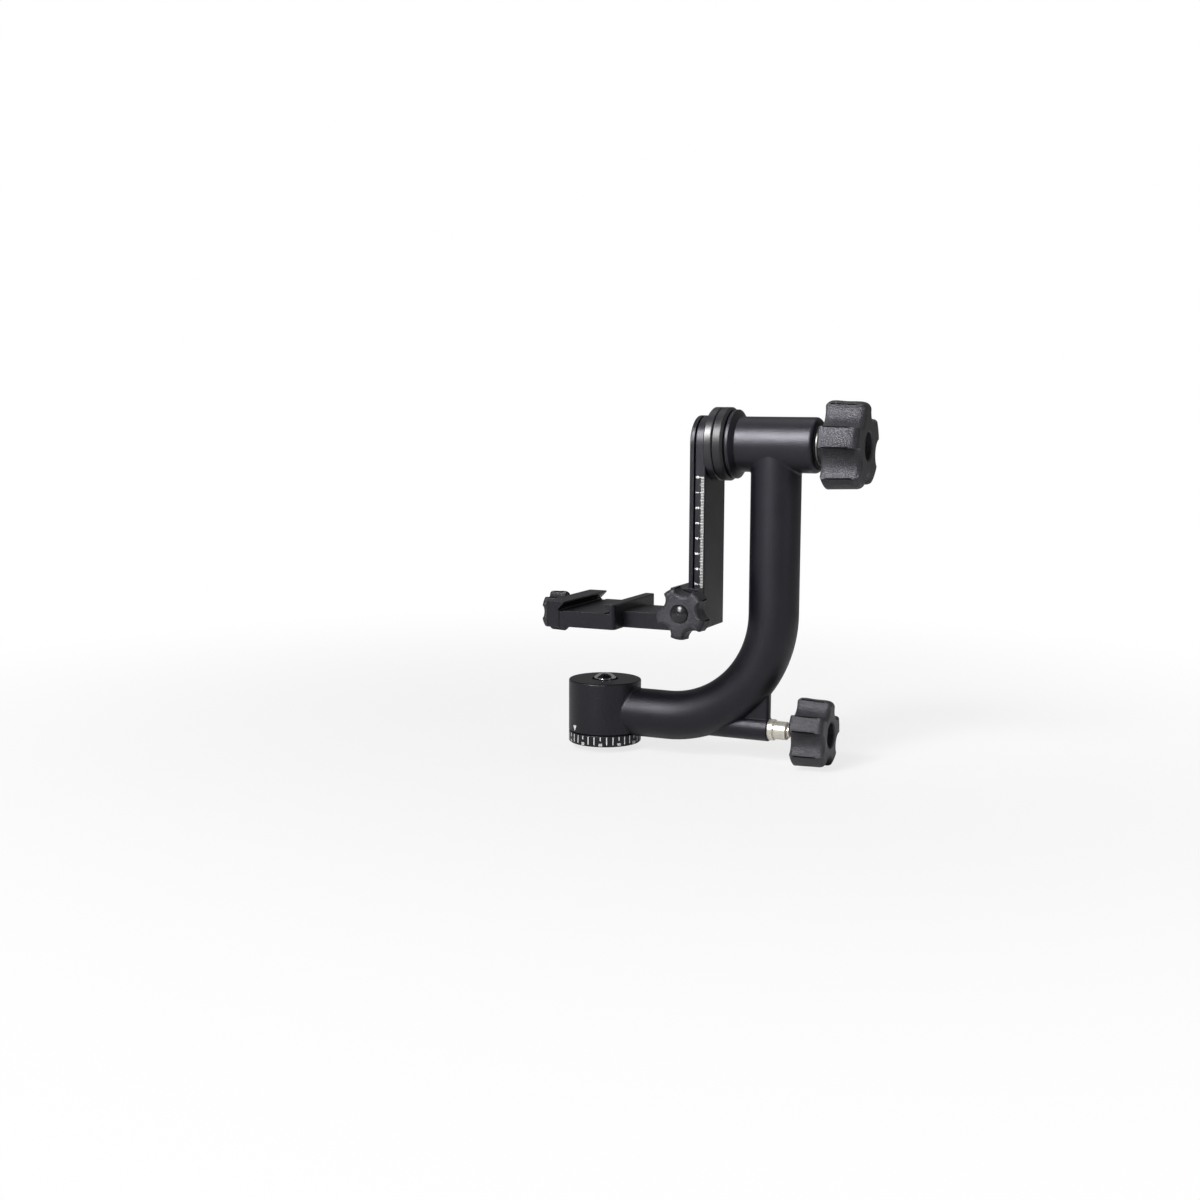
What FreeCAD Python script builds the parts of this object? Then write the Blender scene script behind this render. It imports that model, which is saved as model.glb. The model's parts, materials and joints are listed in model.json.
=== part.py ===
import FreeCAD, Part
import math
import os

V = FreeCAD.Vector

# All lengths in millimetres. Origin: pan axis on the underside of the base.
# +X runs along the tilt axis to the knobs, +Y is the back, +Z is up.
# Each piece takes its place from the piece it seats on.

# Clearances
RUN_GAP = 0.05          # radial, shaft in bush or screw in its nut
SEAT_GAP = 0.1          # between a turning face and its liner
FACE_GAP = 0.3          # between faces that pass each other
WALL_GAP = 0.3          # loose bore around a rod
END_GAP = 0.2           # along a screw or shaft, before it is tightened
HEAD_GAP = 0.2          # around a screw's head
CAP_GAP = 0.1           # around a cap in its recess

# Base
BASE_R = 25.0
RING_H = 7.6
RING_CHAMFER = 0.5
INSERT_R = 7.0
INSERT_LEN = 11.0
SOCKET_R = 3.97         # 3/8 inch thread, drawn at its core size
SOCKET_RELIEF_STEP = 0.8
SOCKET_RELIEF = 2.0
BASE_SCREW_CIRCLE_R = 13.0
BASE_SCREW_R = 2.0
BASE_SCREW_HEAD_R = 4.0
BASE_SCREW_HEAD_H = 2.4
BASE_SCREW_SINK = 0.2
BASE_SCREW_GRIP = 2.8   # length in the spindle flange
BASE_SCREWS = 3
BASE_SCREW_END = RING_H + BASE_SCREW_GRIP
SMALL_HEX = 2.5         # across flats
SMALL_HEX_DEPTH = 1.8

# Housing, which the tube runs into
TUBE_R = 16.5
TUBE_Z = 22.0
PAN_GAP = 0.5           # dark line between ring and housing
HOUSING_R = BASE_R
HOUSING_OVER_TUBE = 4.9
HOUSING_EDGE = 1.0
HOUSING_RIM = 0.4
HOUSING_Z0 = RING_H + PAN_GAP
HOUSING_TOP = TUBE_Z + TUBE_R + HOUSING_OVER_TUBE
CAP_BORE_DEPTH = 2.8
CAP_FLOOR = HOUSING_TOP - CAP_BORE_DEPTH

# Spindle and its bush
SPINDLE_FLANGE_R = 17.0
SPINDLE_FLANGE_H = 4.0
SPINDLE_R = 8.0
SPINDLE_THREAD_R = 4.0
SPINDLE_THREAD_LEN = 4.2
BUSH_WALL = 2.0
PAN_BUSH_R = SPINDLE_R + BUSH_WALL
SPINDLE_TOP = CAP_FLOOR + END_GAP
SPINDLE_THREAD_TOP = SPINDLE_TOP + SPINDLE_THREAD_LEN
SPINDLE_EDGE = 0.3
THREAD_EDGE = 0.6
WASHER_LAP = 0.9        # washer past the spindle's shoulder
WASHER_R = SPINDLE_R + WASHER_LAP
WASHER_T = 1.2
CAP_BORE_R = WASHER_R + FACE_GAP
NUT_R = 7.55
NUT_SKIRT_H = 2.2
NUT_DOME_H = 3.4
NUT_EDGE = 0.4
NUT_Z0 = SPINDLE_TOP + WASHER_T
THRUST_RING_T = 0.9
THRUST_RING_INSET = 0.4
FLANGE_TOP = RING_H + SPINDLE_FLANGE_H
FLANGE_POCKET_TOP = FLANGE_TOP + SEAT_GAP + THRUST_RING_T

# Swing arm, from the pan axis outwards
RAIL_X0 = 68.5
RAIL_T = 11.0
RAIL_HALF_W = 18.5
RAIL_DROP = 121.3       # from the tilt axis to the rail's foot
RAIL_EDGE = 0.7
GROOVE_SETBACK = 3.0
GROOVE_W = 1.4
GROOVE_DEPTH = 3.0
HUB_R = 24.0
HUB_T = 5.5
HUB_EDGE = 0.6
TILT_Z = 206.5
RAIL_X1 = RAIL_X0 + RAIL_T
RAIL_Z0 = TILT_Z - RAIL_DROP
GROOVE_X0 = RAIL_X0 + GROOVE_SETBACK
GROOVE_X1 = GROOVE_X0 + GROOVE_W
HUB_X1 = RAIL_X1 + HUB_T
HUB_SCREW_R = 1.6
HUB_SCREW_HEAD_R = 2.7
HUB_SCREW_HEAD_T = 3.2
HUB_SCREW_SINK = 0.4
HUB_SCREW_WALL = 2.0    # metal left beyond the screw's end
HUB_SCREW_INSET = 3.5   # from the groove's floor to the screw's axis
HUB_SCREWS = 3
HUB_SCREW_END = HUB_X1 - HUB_SCREW_WALL
HUB_SCREW_CIRCLE_R = RAIL_HALF_W - GROOVE_DEPTH - HUB_SCREW_INSET
STOP_PIN_R = 1.5
STOP_PIN_RISE = 3.2
STOP_PIN_OUT = 1.4
STOP_PIN_IN = 5.0
STOP_PIN_Z = RAIL_Z0 + STOP_PIN_RISE

# Friction disc and tilt sleeve
SHAFT_R = 6.0
FRICTION_RING_T = 0.4
FRICTION_RING_R = 19.0
DISC_R = 24.0
DISC_T = 6.8
DISC_EDGE = 0.5
DISC_BEVEL = 1.6
DISC_X0 = HUB_X1 + SEAT_GAP + FRICTION_RING_T
DISC_X1 = DISC_X0 + DISC_T
NECK_R = 20.2
NECK_LEN = 1.5
FLARE_R = 22.5
FLARE_LAND = 1.8
FLARE_TAPER = 2.9
SLEEVE_STEP = 1.5       # sleeve over tube
SLEEVE_LEN = 52.5
SLEEVE_EDGE = 3.0
SLEEVE_BORE_GAP = 1.0
SLEEVE_R = TUBE_R + SLEEVE_STEP
SLEEVE_BORE_R = SHAFT_R + SLEEVE_BORE_GAP
FLARE_X0 = DISC_X1 + NECK_LEN
SLEEVE_X0 = FLARE_X0 + FLARE_LAND + FLARE_TAPER
SLEEVE_X1 = SLEEVE_X0 + SLEEVE_LEN
SPIGOT_WALL = 3.0
TILT_BUSH_LEN = 12.0
TILT_BUSH_SETBACK = 0.5
SPIGOT_LIP = 0.3
TILT_BUSH_R = SHAFT_R + BUSH_WALL
SPIGOT_R = TILT_BUSH_R + SPIGOT_WALL
INNER_BUSH_X0 = DISC_X0 + TILT_BUSH_SETBACK
OUTER_BUSH_X0 = SLEEVE_X1 - TILT_BUSH_LEN
SPIGOT_END = INNER_BUSH_X0 + TILT_BUSH_LEN + SPIGOT_LIP

# Bent tube
BEND_R = 74.0
COLUMN_SETBACK = 23.2   # from the sleeve's start to the column's axis
COLUMN_X = SLEEVE_X0 + COLUMN_SETBACK
BEND_X = COLUMN_X - BEND_R
TUBE_FILLET = 1.2
TEE_FILLET = 1.4

# Lock boss and its web
LOCK_RISE = 6.0         # from the spindle's pocket to the rod's axis
LOCK_Z = FLANGE_POCKET_TOP + LOCK_RISE
BOSS_R = 8.0
BOSS_SETBACK = 1.5      # from the column's axis back to the boss's end
BOSS_EDGE = 0.8
BOSS_X1 = COLUMN_X - BOSS_SETBACK
WEB_T = 8.0
WEB_EDGE = 2.4
WEB_ROOT = 2.4          # how far the web runs into the tube
BEND_Z = TUBE_Z + BEND_R
BEND_OUTER = BEND_R + TUBE_R
WEB_X0 = BEND_X + math.sqrt(BEND_OUTER ** 2 - (BEND_Z - LOCK_Z) ** 2) - WEB_ROOT
WEB_TOP = BEND_Z - math.sqrt(BEND_OUTER ** 2 - (BOSS_X1 - BEND_X) ** 2) + WEB_ROOT

# Knob form, shared by every star knob
LOBES = 5
CREST_HALF_ANGLE = 14.0
VALLEY_RATIO = 0.73
KNOB_DRAFT = 0.965
INNER_ROUND_RATIO = 0.09
OUTER_ROUND_RATIO = 0.17
ROUND_STEPS = 4
STRAIGHT_STEPS = 3
GRIP_LINE_R = 0.7       # grooves along the edges of each crest
GRIP_LINE_IN = 0.8
RECESS_MOUTH = 0.8
RECESS_DEPTH = 6.0
CAP_T = 1.4
CAP_EDGE = 0.5

# Pan lock
ROD_R = 2.7
PAD_R = 4.5
PAD_LEN = 12.0          # from the spindle's face to the rod
PAD_TRAVEL = 2.0
PAD_X1 = SPINDLE_R + PAD_LEN
PAN_BUSH_OVER = 1.9     # from the pad up to the bush
PAN_BUSH_Z0 = LOCK_Z + PAD_R + PAN_BUSH_OVER
LOCK_BUSH_IN = 14.0
LOCK_BUSH_THREAD_R = 5.0
LOCK_BUSH_FLANGE_R = 7.0
LOCK_BUSH_FLANGE_T = 4.0
LOCK_BUSH_R = 6.0
LOCK_BUSH_OUT = 9.0
LOCK_NOSE_R = 4.2
LOCK_NOSE_LEN = 1.6
LOCK_BUSH_EDGE = 0.4
LOCK_BUSH_CHAMFER = 0.8
ROD_BARE = 3.0          # rod in view between the bush and the knob
LOCK_NOSE_X0 = BOSS_X1 + LOCK_BUSH_FLANGE_T + LOCK_BUSH_OUT
LOCK_BUSH_X1 = LOCK_NOSE_X0 + LOCK_NOSE_LEN

# Pan knob
PAN_KNOB_R = 23.0
PAN_KNOB_LEN = 22.6
PAN_KNOB_COLLAR_R = 8.0
PAN_KNOB_COLLAR_T = 2.0
PAN_KNOB_PHASE = 63.7
PAN_RECESS_R = 8.4
PAN_INSERT_R = 5.0
PAN_INSERT_LEN = 12.0
ROD_WALL = 2.1          # plastic between the rod's end and the recess
PAN_COLLAR_X0 = LOCK_BUSH_X1 + ROD_BARE
PAN_KNOB_X0 = PAN_COLLAR_X0 + PAN_KNOB_COLLAR_T
PAN_KNOB_X1 = PAN_KNOB_X0 + PAN_KNOB_LEN
PAN_RECESS_X = PAN_KNOB_X1 - RECESS_DEPTH
ROD_END = PAN_RECESS_X - ROD_WALL

# Tilt lock
TILT_WASHER_R = 13.0
TILT_WASHER_T = 1.0
TILT_KNOB_R = 28.8
TILT_KNOB_LEN = 26.2
TILT_COLLAR_R = 12.0
TILT_COLLAR_T = 4.3
TILT_KNOB_PHASE = 5.2
TILT_RECESS_R = 9.2
TILT_INSERT_R = 8.0
TILT_INSERT_WALL = 3.3  # plastic between the insert and the recess
TILT_WASHER_X0 = SLEEVE_X1 + END_GAP
TILT_COLLAR_X0 = TILT_WASHER_X0 + TILT_WASHER_T
TILT_KNOB_X0 = TILT_COLLAR_X0 + TILT_COLLAR_T
TILT_KNOB_X1 = TILT_KNOB_X0 + TILT_KNOB_LEN
TILT_RECESS_X = TILT_KNOB_X1 - RECESS_DEPTH
TILT_INSERT_X1 = TILT_RECESS_X - TILT_INSERT_WALL

# Tilt shaft
SHAFT_HEAD_R = 8.4
SHAFT_HEAD_T = 3.8
SHAFT_HEAD_SINK = 0.4
SHAFT_HEAD_EDGE = 0.6
SHAFT_HEX = 6.0
SHAFT_HEX_DEPTH = 2.6
SHAFT_PAST_WASHER = 0.7
SHAFT_THREAD_R = 4.0
SHAFT_HEAD_X0 = RAIL_X0 + SHAFT_HEAD_SINK
SHAFT_HEAD_X1 = SHAFT_HEAD_X0 + SHAFT_HEAD_T
SHAFT_SHOULDER = TILT_COLLAR_X0 + SHAFT_PAST_WASHER
SHAFT_END = TILT_INSERT_X1 + FACE_GAP

# Platform bracket
BAR_T = 10.8
BAR_DROP = 2.0          # how far the bar hangs below the rail's foot
BAR_HALF_W = 19.0
BAR_Z0 = RAIL_Z0 - BAR_DROP
BAR_TOP = BAR_Z0 + BAR_T
BLOCK_BACK_T = 10.0
BLOCK_H = 27.3
BLOCK_WALL = 6.7
BLOCK_EDGE = 1.2
BLOCK_FILLET = 3.0
BLOCK_X0 = RAIL_X0 - BLOCK_BACK_T
BLOCK_X1 = RAIL_X1 - FACE_GAP
BLOCK_Z0 = RAIL_Z0
BLOCK_Z1 = BLOCK_Z0 + BLOCK_H
CHANNEL_Y = RAIL_HALF_W + FACE_GAP
BLOCK_HALF_W = CHANNEL_Y + BLOCK_WALL
TONGUE_GAP = 0.2
TONGUE_DEPTH = 2.6
STOP_SLOT_TOP = STOP_PIN_Z + STOP_PIN_R + FACE_GAP

# Dovetail clamp, its channel centred on the pan axis
CHANNEL_HALF_TOP = 15.2
JAW_RISE = 6.0
JAW_LIP = 1.0
JAW_TOE = 0.8
JAW_EDGE = 0.8
FIXED_JAW_T = 3.1       # behind the undercut
SEAT_RELIEF = 0.6
SEAT_INSET = 0.2        # seat edge to jaw lip, seen from above
PAD_HALF_W = 35.0
PAD_CORNER = 3.0
MOVING_JAW_T = 10.5
JAW_PAD_GAP = 0.5
JAW_PAD_LAP = 1.4       # how far the moving jaw's toe stands back from the pad
CHANNEL_HALF_FLOOR = CHANNEL_HALF_TOP + JAW_RISE - JAW_LIP - JAW_TOE
PAD_X_OUT = CHANNEL_HALF_FLOOR + FIXED_JAW_T
PAD_X_IN = -CHANNEL_HALF_FLOOR + JAW_PAD_LAP
JAW_X_IN = PAD_X_IN - JAW_PAD_GAP
JAW_X_OUT = JAW_X_IN - MOVING_JAW_T
JAW_TOP = BAR_TOP + JAW_RISE
SEAT_HALF_W = CHANNEL_HALF_TOP - SEAT_INSET
PIN_R = 2.5
PIN_INSET = 11.0
PIN_SINK = 0.6
PIN_GRIP = 13.0
PIN_EDGE = 0.4
PIN_Y = PAD_HALF_W - PIN_INSET

# Rail lock
RAIL_KNOB_SETBACK = 4.1 # from the rail's near face to the knob's axis
RAIL_KNOB_RISE = 13.0
RAIL_KNOB_CX = RAIL_X0 + RAIL_KNOB_SETBACK
RAIL_KNOB_CZ = BLOCK_Z0 + RAIL_KNOB_RISE
RAIL_BOSS_R = 8.5
RAIL_BOSS_OUT = 3.5
RAIL_BOSS_ROOT = 1.9
RAIL_BOSS_Y = -BLOCK_HALF_W - RAIL_BOSS_OUT
SHOE_R = 4.5
SHOE_T = 2.4
SHOE_TRAVEL = 1.2
SHOE_POCKET = SHOE_T + SHOE_TRAVEL
STUD_R = 3.0
RAIL_KNOB_R = 17.6
RAIL_KNOB_LEN = 13.5
RAIL_COLLAR_R = 7.5
RAIL_COLLAR_T = 1.5
RAIL_KNOB_PHASE = 188.0
RAIL_RECESS_R = 5.6
RAIL_RECESS_DEPTH = 2.6
RAIL_CAP_RISE = 1.8
RAIL_KNOB_Y = RAIL_BOSS_Y - FACE_GAP - RAIL_COLLAR_T
STUD_END_WALL = 3.3     # plastic left between the stud and the knob's face

# Clamp knob
CLAMP_STUD_Z = BAR_Z0 + BAR_T / 2
CLAMP_STUD_GRIP = 24.0
STUD_ROOM = 2.0         # bore left past the stud's end
CLAMP_KNOB_R = 14.0
CLAMP_KNOB_LEN = 12.5
CLAMP_COLLAR_R = 6.5
CLAMP_COLLAR_T = 1.5
CLAMP_KNOB_PHASE = 18.0
CLAMP_RECESS_R = 4.6
CLAMP_RECESS_DEPTH = 2.6
CLAMP_STUD_WALL = 3.7
CLAMP_KNOB_X = JAW_X_OUT - CLAMP_COLLAR_T

CUT = 1.0               # how far a cutting tool starts outside the metal
ROOT = 2.0              # how far a collar runs into its knob

AXIS_X = V(1, 0, 0)
AXIS_Y = V(0, 1, 0)
AXIS_Z = V(0, 0, 1)


def cyl_x(radius, x0, x1, y=0.0, z=TILT_Z):
    return Part.makeCylinder(radius, x1 - x0, V(x0, y, z), AXIS_X)


def cyl_y(radius, y0, y1, x, z):
    return Part.makeCylinder(radius, y1 - y0, V(x, y0, z), AXIS_Y)


def cyl_z(radius, z0, z1, x=0.0, y=0.0):
    return Part.makeCylinder(radius, z1 - z0, V(x, y, z0), AXIS_Z)


def box(x0, x1, y0, y1, z0, z1):
    return Part.makeBox(x1 - x0, y1 - y0, z1 - z0, V(x0, y0, z0))


def turned(points, origin, axis, side):
    """Solid turned from a closed outline of (height, radius) pairs."""
    path = [origin + axis * h + side * r for h, r in points]
    face = Part.Face(Part.makePolygon(path + [path[0]]))
    return face.revolve(origin, axis, 360)


def turned_x(points, z=TILT_Z):
    return turned(points, V(0, 0, z), AXIS_X, AXIS_Z)


def turned_z(points):
    return turned(points, V(0, 0, 0), AXIS_Z, AXIS_X)


def hexagon(across_flats, depth, origin, axis, side):
    """Hexagonal prism that starts at origin and runs along axis."""
    other = axis.cross(side)
    radius = across_flats / math.sqrt(3.0)
    corners = []
    for i in range(6):
        a = math.radians(60.0 * i)
        corners.append(origin + side * (radius * math.cos(a)) + other * (radius * math.sin(a)))
    face = Part.Face(Part.makePolygon(corners + [corners[0]]))
    return face.extrude(axis * depth)


def fillet_where(shape, radius, test):
    edges = [e for e in shape.Edges if test(e)]
    return shape.makeFillet(radius, edges) if edges else shape


def circle_at(edge, coordinate, value):
    """True for a round edge that lies in the plane coordinate = value."""
    if not isinstance(edge.Curve, Part.Circle):
        return False
    centre = getattr(edge.Curve.Center, coordinate)
    axis = getattr(edge.Curve.Axis, coordinate)
    return abs(centre - value) < 1e-4 and abs(abs(axis) - 1.0) < 1e-4


def upright_at(edge, x, y):
    """True for the upright edges in the plane x whose distance from the middle is y."""
    c = edge.CenterOfMass
    return abs(c.x - x) < 1e-3 and abs(abs(c.y) - y) < 1e-3


def polar(count, radius, start_deg=90.0):
    for i in range(count):
        a = math.radians(start_deg + 360.0 * i / count)
        yield radius * math.cos(a), radius * math.sin(a)


def one_solid(shape):
    clean = shape.removeSplitter()
    return clean.Solids[0] if len(clean.Solids) == 1 else clean


# Star knob: lobed bar with draft, rounded ends and a groove along each side of every crest

def star_wire(origin, up, side, r_out, r_in, phase_deg):
    step = 360.0 / LOBES

    def at(radius, deg):
        a = math.radians(deg)
        return origin + up * (radius * math.cos(a)) + side * (radius * math.sin(a))

    edges = []
    for i in range(LOBES):
        mid = phase_deg + step * i
        a0, a1 = mid - CREST_HALF_ANGLE, mid + CREST_HALF_ANGLE
        b1 = mid + step - CREST_HALF_ANGLE
        edges.append(Part.Arc(at(r_out, a0), at(r_out, mid), at(r_out, a1)).toShape())
        edges.append(Part.Arc(at(r_out, a1), at(r_in, mid + step / 2), at(r_out, b1)).toShape())
    return Part.Wire(edges)


def knob_sections(r_out, length):
    """(height, inset) of each loft section: inner round, straight side, outer round."""
    inner = INNER_ROUND_RATIO * r_out
    outer = OUTER_ROUND_RATIO * r_out
    turns = [math.radians(90.0 * i / ROUND_STEPS) for i in range(ROUND_STEPS + 1)]
    start = [(inner * (1 - math.cos(a)), inner * (1 - math.sin(a))) for a in turns]
    run = length - inner - outer
    middle = [(inner + run * i / STRAIGHT_STEPS, 0.0) for i in range(1, STRAIGHT_STEPS)]
    end = [(length - outer * (1 - math.sin(a)), outer * (1 - math.cos(a))) for a in turns]
    return start + middle + end


def star_knob(origin, axis, up, side, r_out, length, phase_deg):
    def crest(height):
        return r_out * (1 - (1 - KNOB_DRAFT) * height / length)

    wires = []
    for height, inset in knob_sections(r_out, length):
        r = crest(height)
        wires.append(star_wire(origin + axis * height, up, side, r - inset,
                               r * VALLEY_RATIO - inset, phase_deg))
    knob = Part.makeLoft(wires, True, False)

    h0 = INNER_ROUND_RATIO * r_out + GRIP_LINE_IN
    h1 = length - OUTER_ROUND_RATIO * r_out - GRIP_LINE_IN
    lines = []
    for i in range(LOBES):
        for turn in (-CREST_HALF_ANGLE, CREST_HALF_ANGLE):
            a = math.radians(phase_deg + 360.0 / LOBES * i + turn)
            out = up * math.cos(a) + side * math.sin(a)
            p0 = origin + axis * h0 + out * crest(h0)
            p1 = origin + axis * h1 + out * crest(h1)
            lines.append(Part.makeCylinder(GRIP_LINE_R, (p1 - p0).Length, p0, p1 - p0))
    return knob.cut(lines)


def recess(radius, depth, tip, axis, side):
    """Round recess with a chamfered mouth, sunk from the knob's tip along -axis."""
    mouth = radius + RECESS_MOUTH
    return turned([(-depth, 0), (-depth, radius), (-RECESS_MOUTH, radius), (0, mouth), (CUT, mouth),
                   (CUT, 0)], tip, axis, side)


def recess_cap(radius, origin, axis):
    """Plug at the bottom of a knob's recess; origin is the recess floor."""
    cap = Part.makeCylinder(radius - CAP_GAP, CAP_T, origin, axis)
    rim = [e for e in cap.Edges if isinstance(e.Curve, Part.Circle)
           and (e.Curve.Center - origin).dot(axis) > CAP_T / 2]
    return cap.makeFillet(CAP_EDGE, rim)


def domed_cap(radius, height, rise, origin, axis, side):
    """Plug that fills a recess and stands out of it as a dome."""
    r = radius - CAP_GAP
    dome_r = (r ** 2 + rise ** 2) / (2 * rise)
    half = math.asin(r / dome_r) / 2

    def at(h, out):
        return origin + axis * h + side * out

    crown = at(height + rise, 0)
    mid = at(height + rise - dome_r * (1 - math.cos(half)), dome_r * math.sin(half))
    edges = [Part.makeLine(at(0, 0), at(0, r)), Part.makeLine(at(0, r), at(height, r)),
             Part.Arc(at(height, r), mid, crown).toShape(), Part.makeLine(crown, at(0, 0))]
    return Part.Face(Part.Wire(edges)).revolve(origin, axis, 360)


# Base

def base_plate():
    disc = cyl_z(BASE_R, 0, RING_H)
    disc = disc.makeChamfer(RING_CHAMFER, [e for e in disc.Edges if isinstance(e.Curve, Part.Circle)])
    disc = disc.cut(cyl_z(INSERT_R, -CUT, RING_H + CUT))
    for x, y in polar(BASE_SCREWS, BASE_SCREW_CIRCLE_R):
        disc = disc.cut(cyl_z(BASE_SCREW_R, -CUT, RING_H + CUT, x, y))
        disc = disc.cut(Part.makeCone(BASE_SCREW_HEAD_R + HEAD_GAP, BASE_SCREW_R,
                                      BASE_SCREW_HEAD_H + HEAD_GAP, V(x, y, 0)))
    return disc


def thread_insert():
    return cyl_z(INSERT_R, 0, INSERT_LEN).cut(cyl_z(SOCKET_R, -CUT, INSERT_LEN + CUT))


def base_screw(x, y):
    z0 = BASE_SCREW_SINK
    head = Part.makeCone(BASE_SCREW_HEAD_R, BASE_SCREW_R, BASE_SCREW_HEAD_H, V(x, y, z0))
    screw = head.fuse(cyl_z(BASE_SCREW_R, z0 + BASE_SCREW_HEAD_H / 2, BASE_SCREW_END, x, y))
    return one_solid(screw.cut(hexagon(SMALL_HEX, SMALL_HEX_DEPTH, V(x, y, z0), AXIS_Z, AXIS_X)))


def pan_spindle():
    edge = SPINDLE_EDGE
    body = turned_z([(RING_H, 0), (RING_H, SPINDLE_FLANGE_R - edge), (RING_H + edge, SPINDLE_FLANGE_R),
                     (FLANGE_TOP, SPINDLE_FLANGE_R), (FLANGE_TOP, SPINDLE_R), (SPINDLE_TOP, SPINDLE_R),
                     (SPINDLE_TOP, SPINDLE_THREAD_R), (SPINDLE_THREAD_TOP - THREAD_EDGE, SPINDLE_THREAD_R),
                     (SPINDLE_THREAD_TOP, SPINDLE_THREAD_R - THREAD_EDGE), (SPINDLE_THREAD_TOP, 0)])
    body = body.cut(cyl_z(INSERT_R, RING_H - CUT, INSERT_LEN))
    body = body.cut(cyl_z(SOCKET_R + SOCKET_RELIEF_STEP, INSERT_LEN - CUT, INSERT_LEN + SOCKET_RELIEF))
    for x, y in polar(BASE_SCREWS, BASE_SCREW_CIRCLE_R):
        body = body.cut(cyl_z(BASE_SCREW_R, RING_H - CUT, BASE_SCREW_END, x, y))
    return body


def spindle_washer():
    washer = cyl_z(WASHER_R, SPINDLE_TOP, NUT_Z0)
    return washer.cut(cyl_z(SPINDLE_THREAD_R, SPINDLE_TOP - CUT, NUT_Z0 + CUT))


def spindle_nut():
    skirt_top = NUT_Z0 + NUT_SKIRT_H
    crown = V(0, 0, skirt_top + NUT_DOME_H)
    dome_r = (NUT_R ** 2 + NUT_DOME_H ** 2) / (2 * NUT_DOME_H)
    half = math.asin(NUT_R / dome_r) / 2
    mid = crown + V(dome_r * math.sin(half), 0, dome_r * (math.cos(half) - 1))
    path = [V(0, 0, NUT_Z0), V(NUT_R - NUT_EDGE, 0, NUT_Z0), V(NUT_R, 0, NUT_Z0 + NUT_EDGE),
            V(NUT_R, 0, skirt_top)]
    edges = [Part.makeLine(a, b) for a, b in zip(path[:-1], path[1:])]
    edges += [Part.Arc(path[-1], mid, crown).toShape(), Part.makeLine(crown, path[0])]
    nut = Part.Face(Part.Wire(edges)).revolve(V(0, 0, 0), AXIS_Z, 360)
    return nut.cut(cyl_z(SPINDLE_THREAD_R, NUT_Z0 - CUT, SPINDLE_THREAD_TOP + FACE_GAP))


# Arm

def bent_tube():
    start = cyl_x(TUBE_R, 0, BEND_X, z=TUBE_Z)
    ring = Part.Face(Part.Wire(Part.makeCircle(TUBE_R, V(BEND_X, 0, TUBE_Z), AXIS_X)))
    bend = ring.revolve(V(BEND_X, 0, BEND_Z), AXIS_Y, -90)
    column = cyl_z(TUBE_R, BEND_Z, TILT_Z, COLUMN_X)
    return start.fuse([bend, column]).removeSplitter()


def housing():
    body = cyl_z(HOUSING_R, HOUSING_Z0, HOUSING_TOP)
    body = fillet_where(body, HOUSING_EDGE, lambda e: circle_at(e, "z", HOUSING_TOP))
    return body.makeChamfer(HOUSING_RIM, [e for e in body.Edges if circle_at(e, "z", HOUSING_Z0)])


def sleeve():
    body = turned_x([(DISC_X1, 0), (DISC_X1, NECK_R), (FLARE_X0, NECK_R), (FLARE_X0, FLARE_R),
                     (FLARE_X0 + FLARE_LAND, FLARE_R), (SLEEVE_X0, SLEEVE_R),
                     (SLEEVE_X1, SLEEVE_R), (SLEEVE_X1, 0)])
    return fillet_where(body, SLEEVE_EDGE, lambda e: circle_at(e, "x", SLEEVE_X1))


def lock_web():
    web = box(WEB_X0, BOSS_X1, -WEB_T / 2, WEB_T / 2, LOCK_Z, WEB_TOP)
    return fillet_where(web, WEB_EDGE, lambda e: upright_at(e, BOSS_X1, WEB_T / 2))


def lock_boss():
    boss = cyl_x(BOSS_R, BEND_X, BOSS_X1, z=LOCK_Z)
    return fillet_where(boss, BOSS_EDGE, lambda e: circle_at(e, "x", BOSS_X1))


def tee_edge(edge):
    """True for the curve where the upright tube meets the sleeve."""
    points = edge.discretize(5)
    return all(p.z < TILT_Z and abs(math.hypot(p.y, p.z - TILT_Z) - SLEEVE_R) < 0.02
               and abs(math.hypot(p.x - COLUMN_X, p.y) - TUBE_R) < 0.02 for p in points)


def tube_edge(edge):
    """True for the curve where the lower tube runs into the housing."""
    points = edge.discretize(5)
    return all(p.x > 0 and abs(math.hypot(p.x, p.y) - HOUSING_R) < 0.02
               and abs(math.hypot(p.y, p.z - TUBE_Z) - TUBE_R) < 0.02 for p in points)


def spindle_bores():
    """Room for the base ring, the spindle's flange, its bush and the nut."""
    ring = cyl_z(HOUSING_R + PAN_GAP, -CUT, HOUSING_Z0)
    pocket = cyl_z(SPINDLE_FLANGE_R + RUN_GAP, -CUT, FLANGE_POCKET_TOP)
    bore = cyl_z(PAN_BUSH_R, 0, CAP_FLOOR)
    cap_bore = cyl_z(CAP_BORE_R, CAP_FLOOR - CUT, HOUSING_TOP + CUT)
    return [ring, pocket, bore, cap_bore]


def lock_bores():
    """Room for the pan lock's pad, rod and threaded bush."""
    pad = cyl_x(PAD_R + RUN_GAP, 0, PAD_X1 + PAD_TRAVEL, z=LOCK_Z)
    rod = cyl_x(ROD_R + WALL_GAP, 0, BOSS_X1 + CUT, z=LOCK_Z)
    bush = cyl_x(LOCK_BUSH_THREAD_R, BOSS_X1 - LOCK_BUSH_IN, BOSS_X1 + CUT, z=LOCK_Z)
    return [pad, rod, bush]


def shaft_bores():
    """Room for the tilt shaft, the disc's spigot and the outer bush."""
    shaft = cyl_x(SLEEVE_BORE_R, DISC_X1 - CUT, SLEEVE_X1 + CUT)
    spigot = cyl_x(SPIGOT_R, DISC_X1 - CUT, SPIGOT_END)
    bush = cyl_x(TILT_BUSH_R, OUTER_BUSH_X0, SLEEVE_X1 + CUT)
    return [shaft, spigot, bush]


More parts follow.
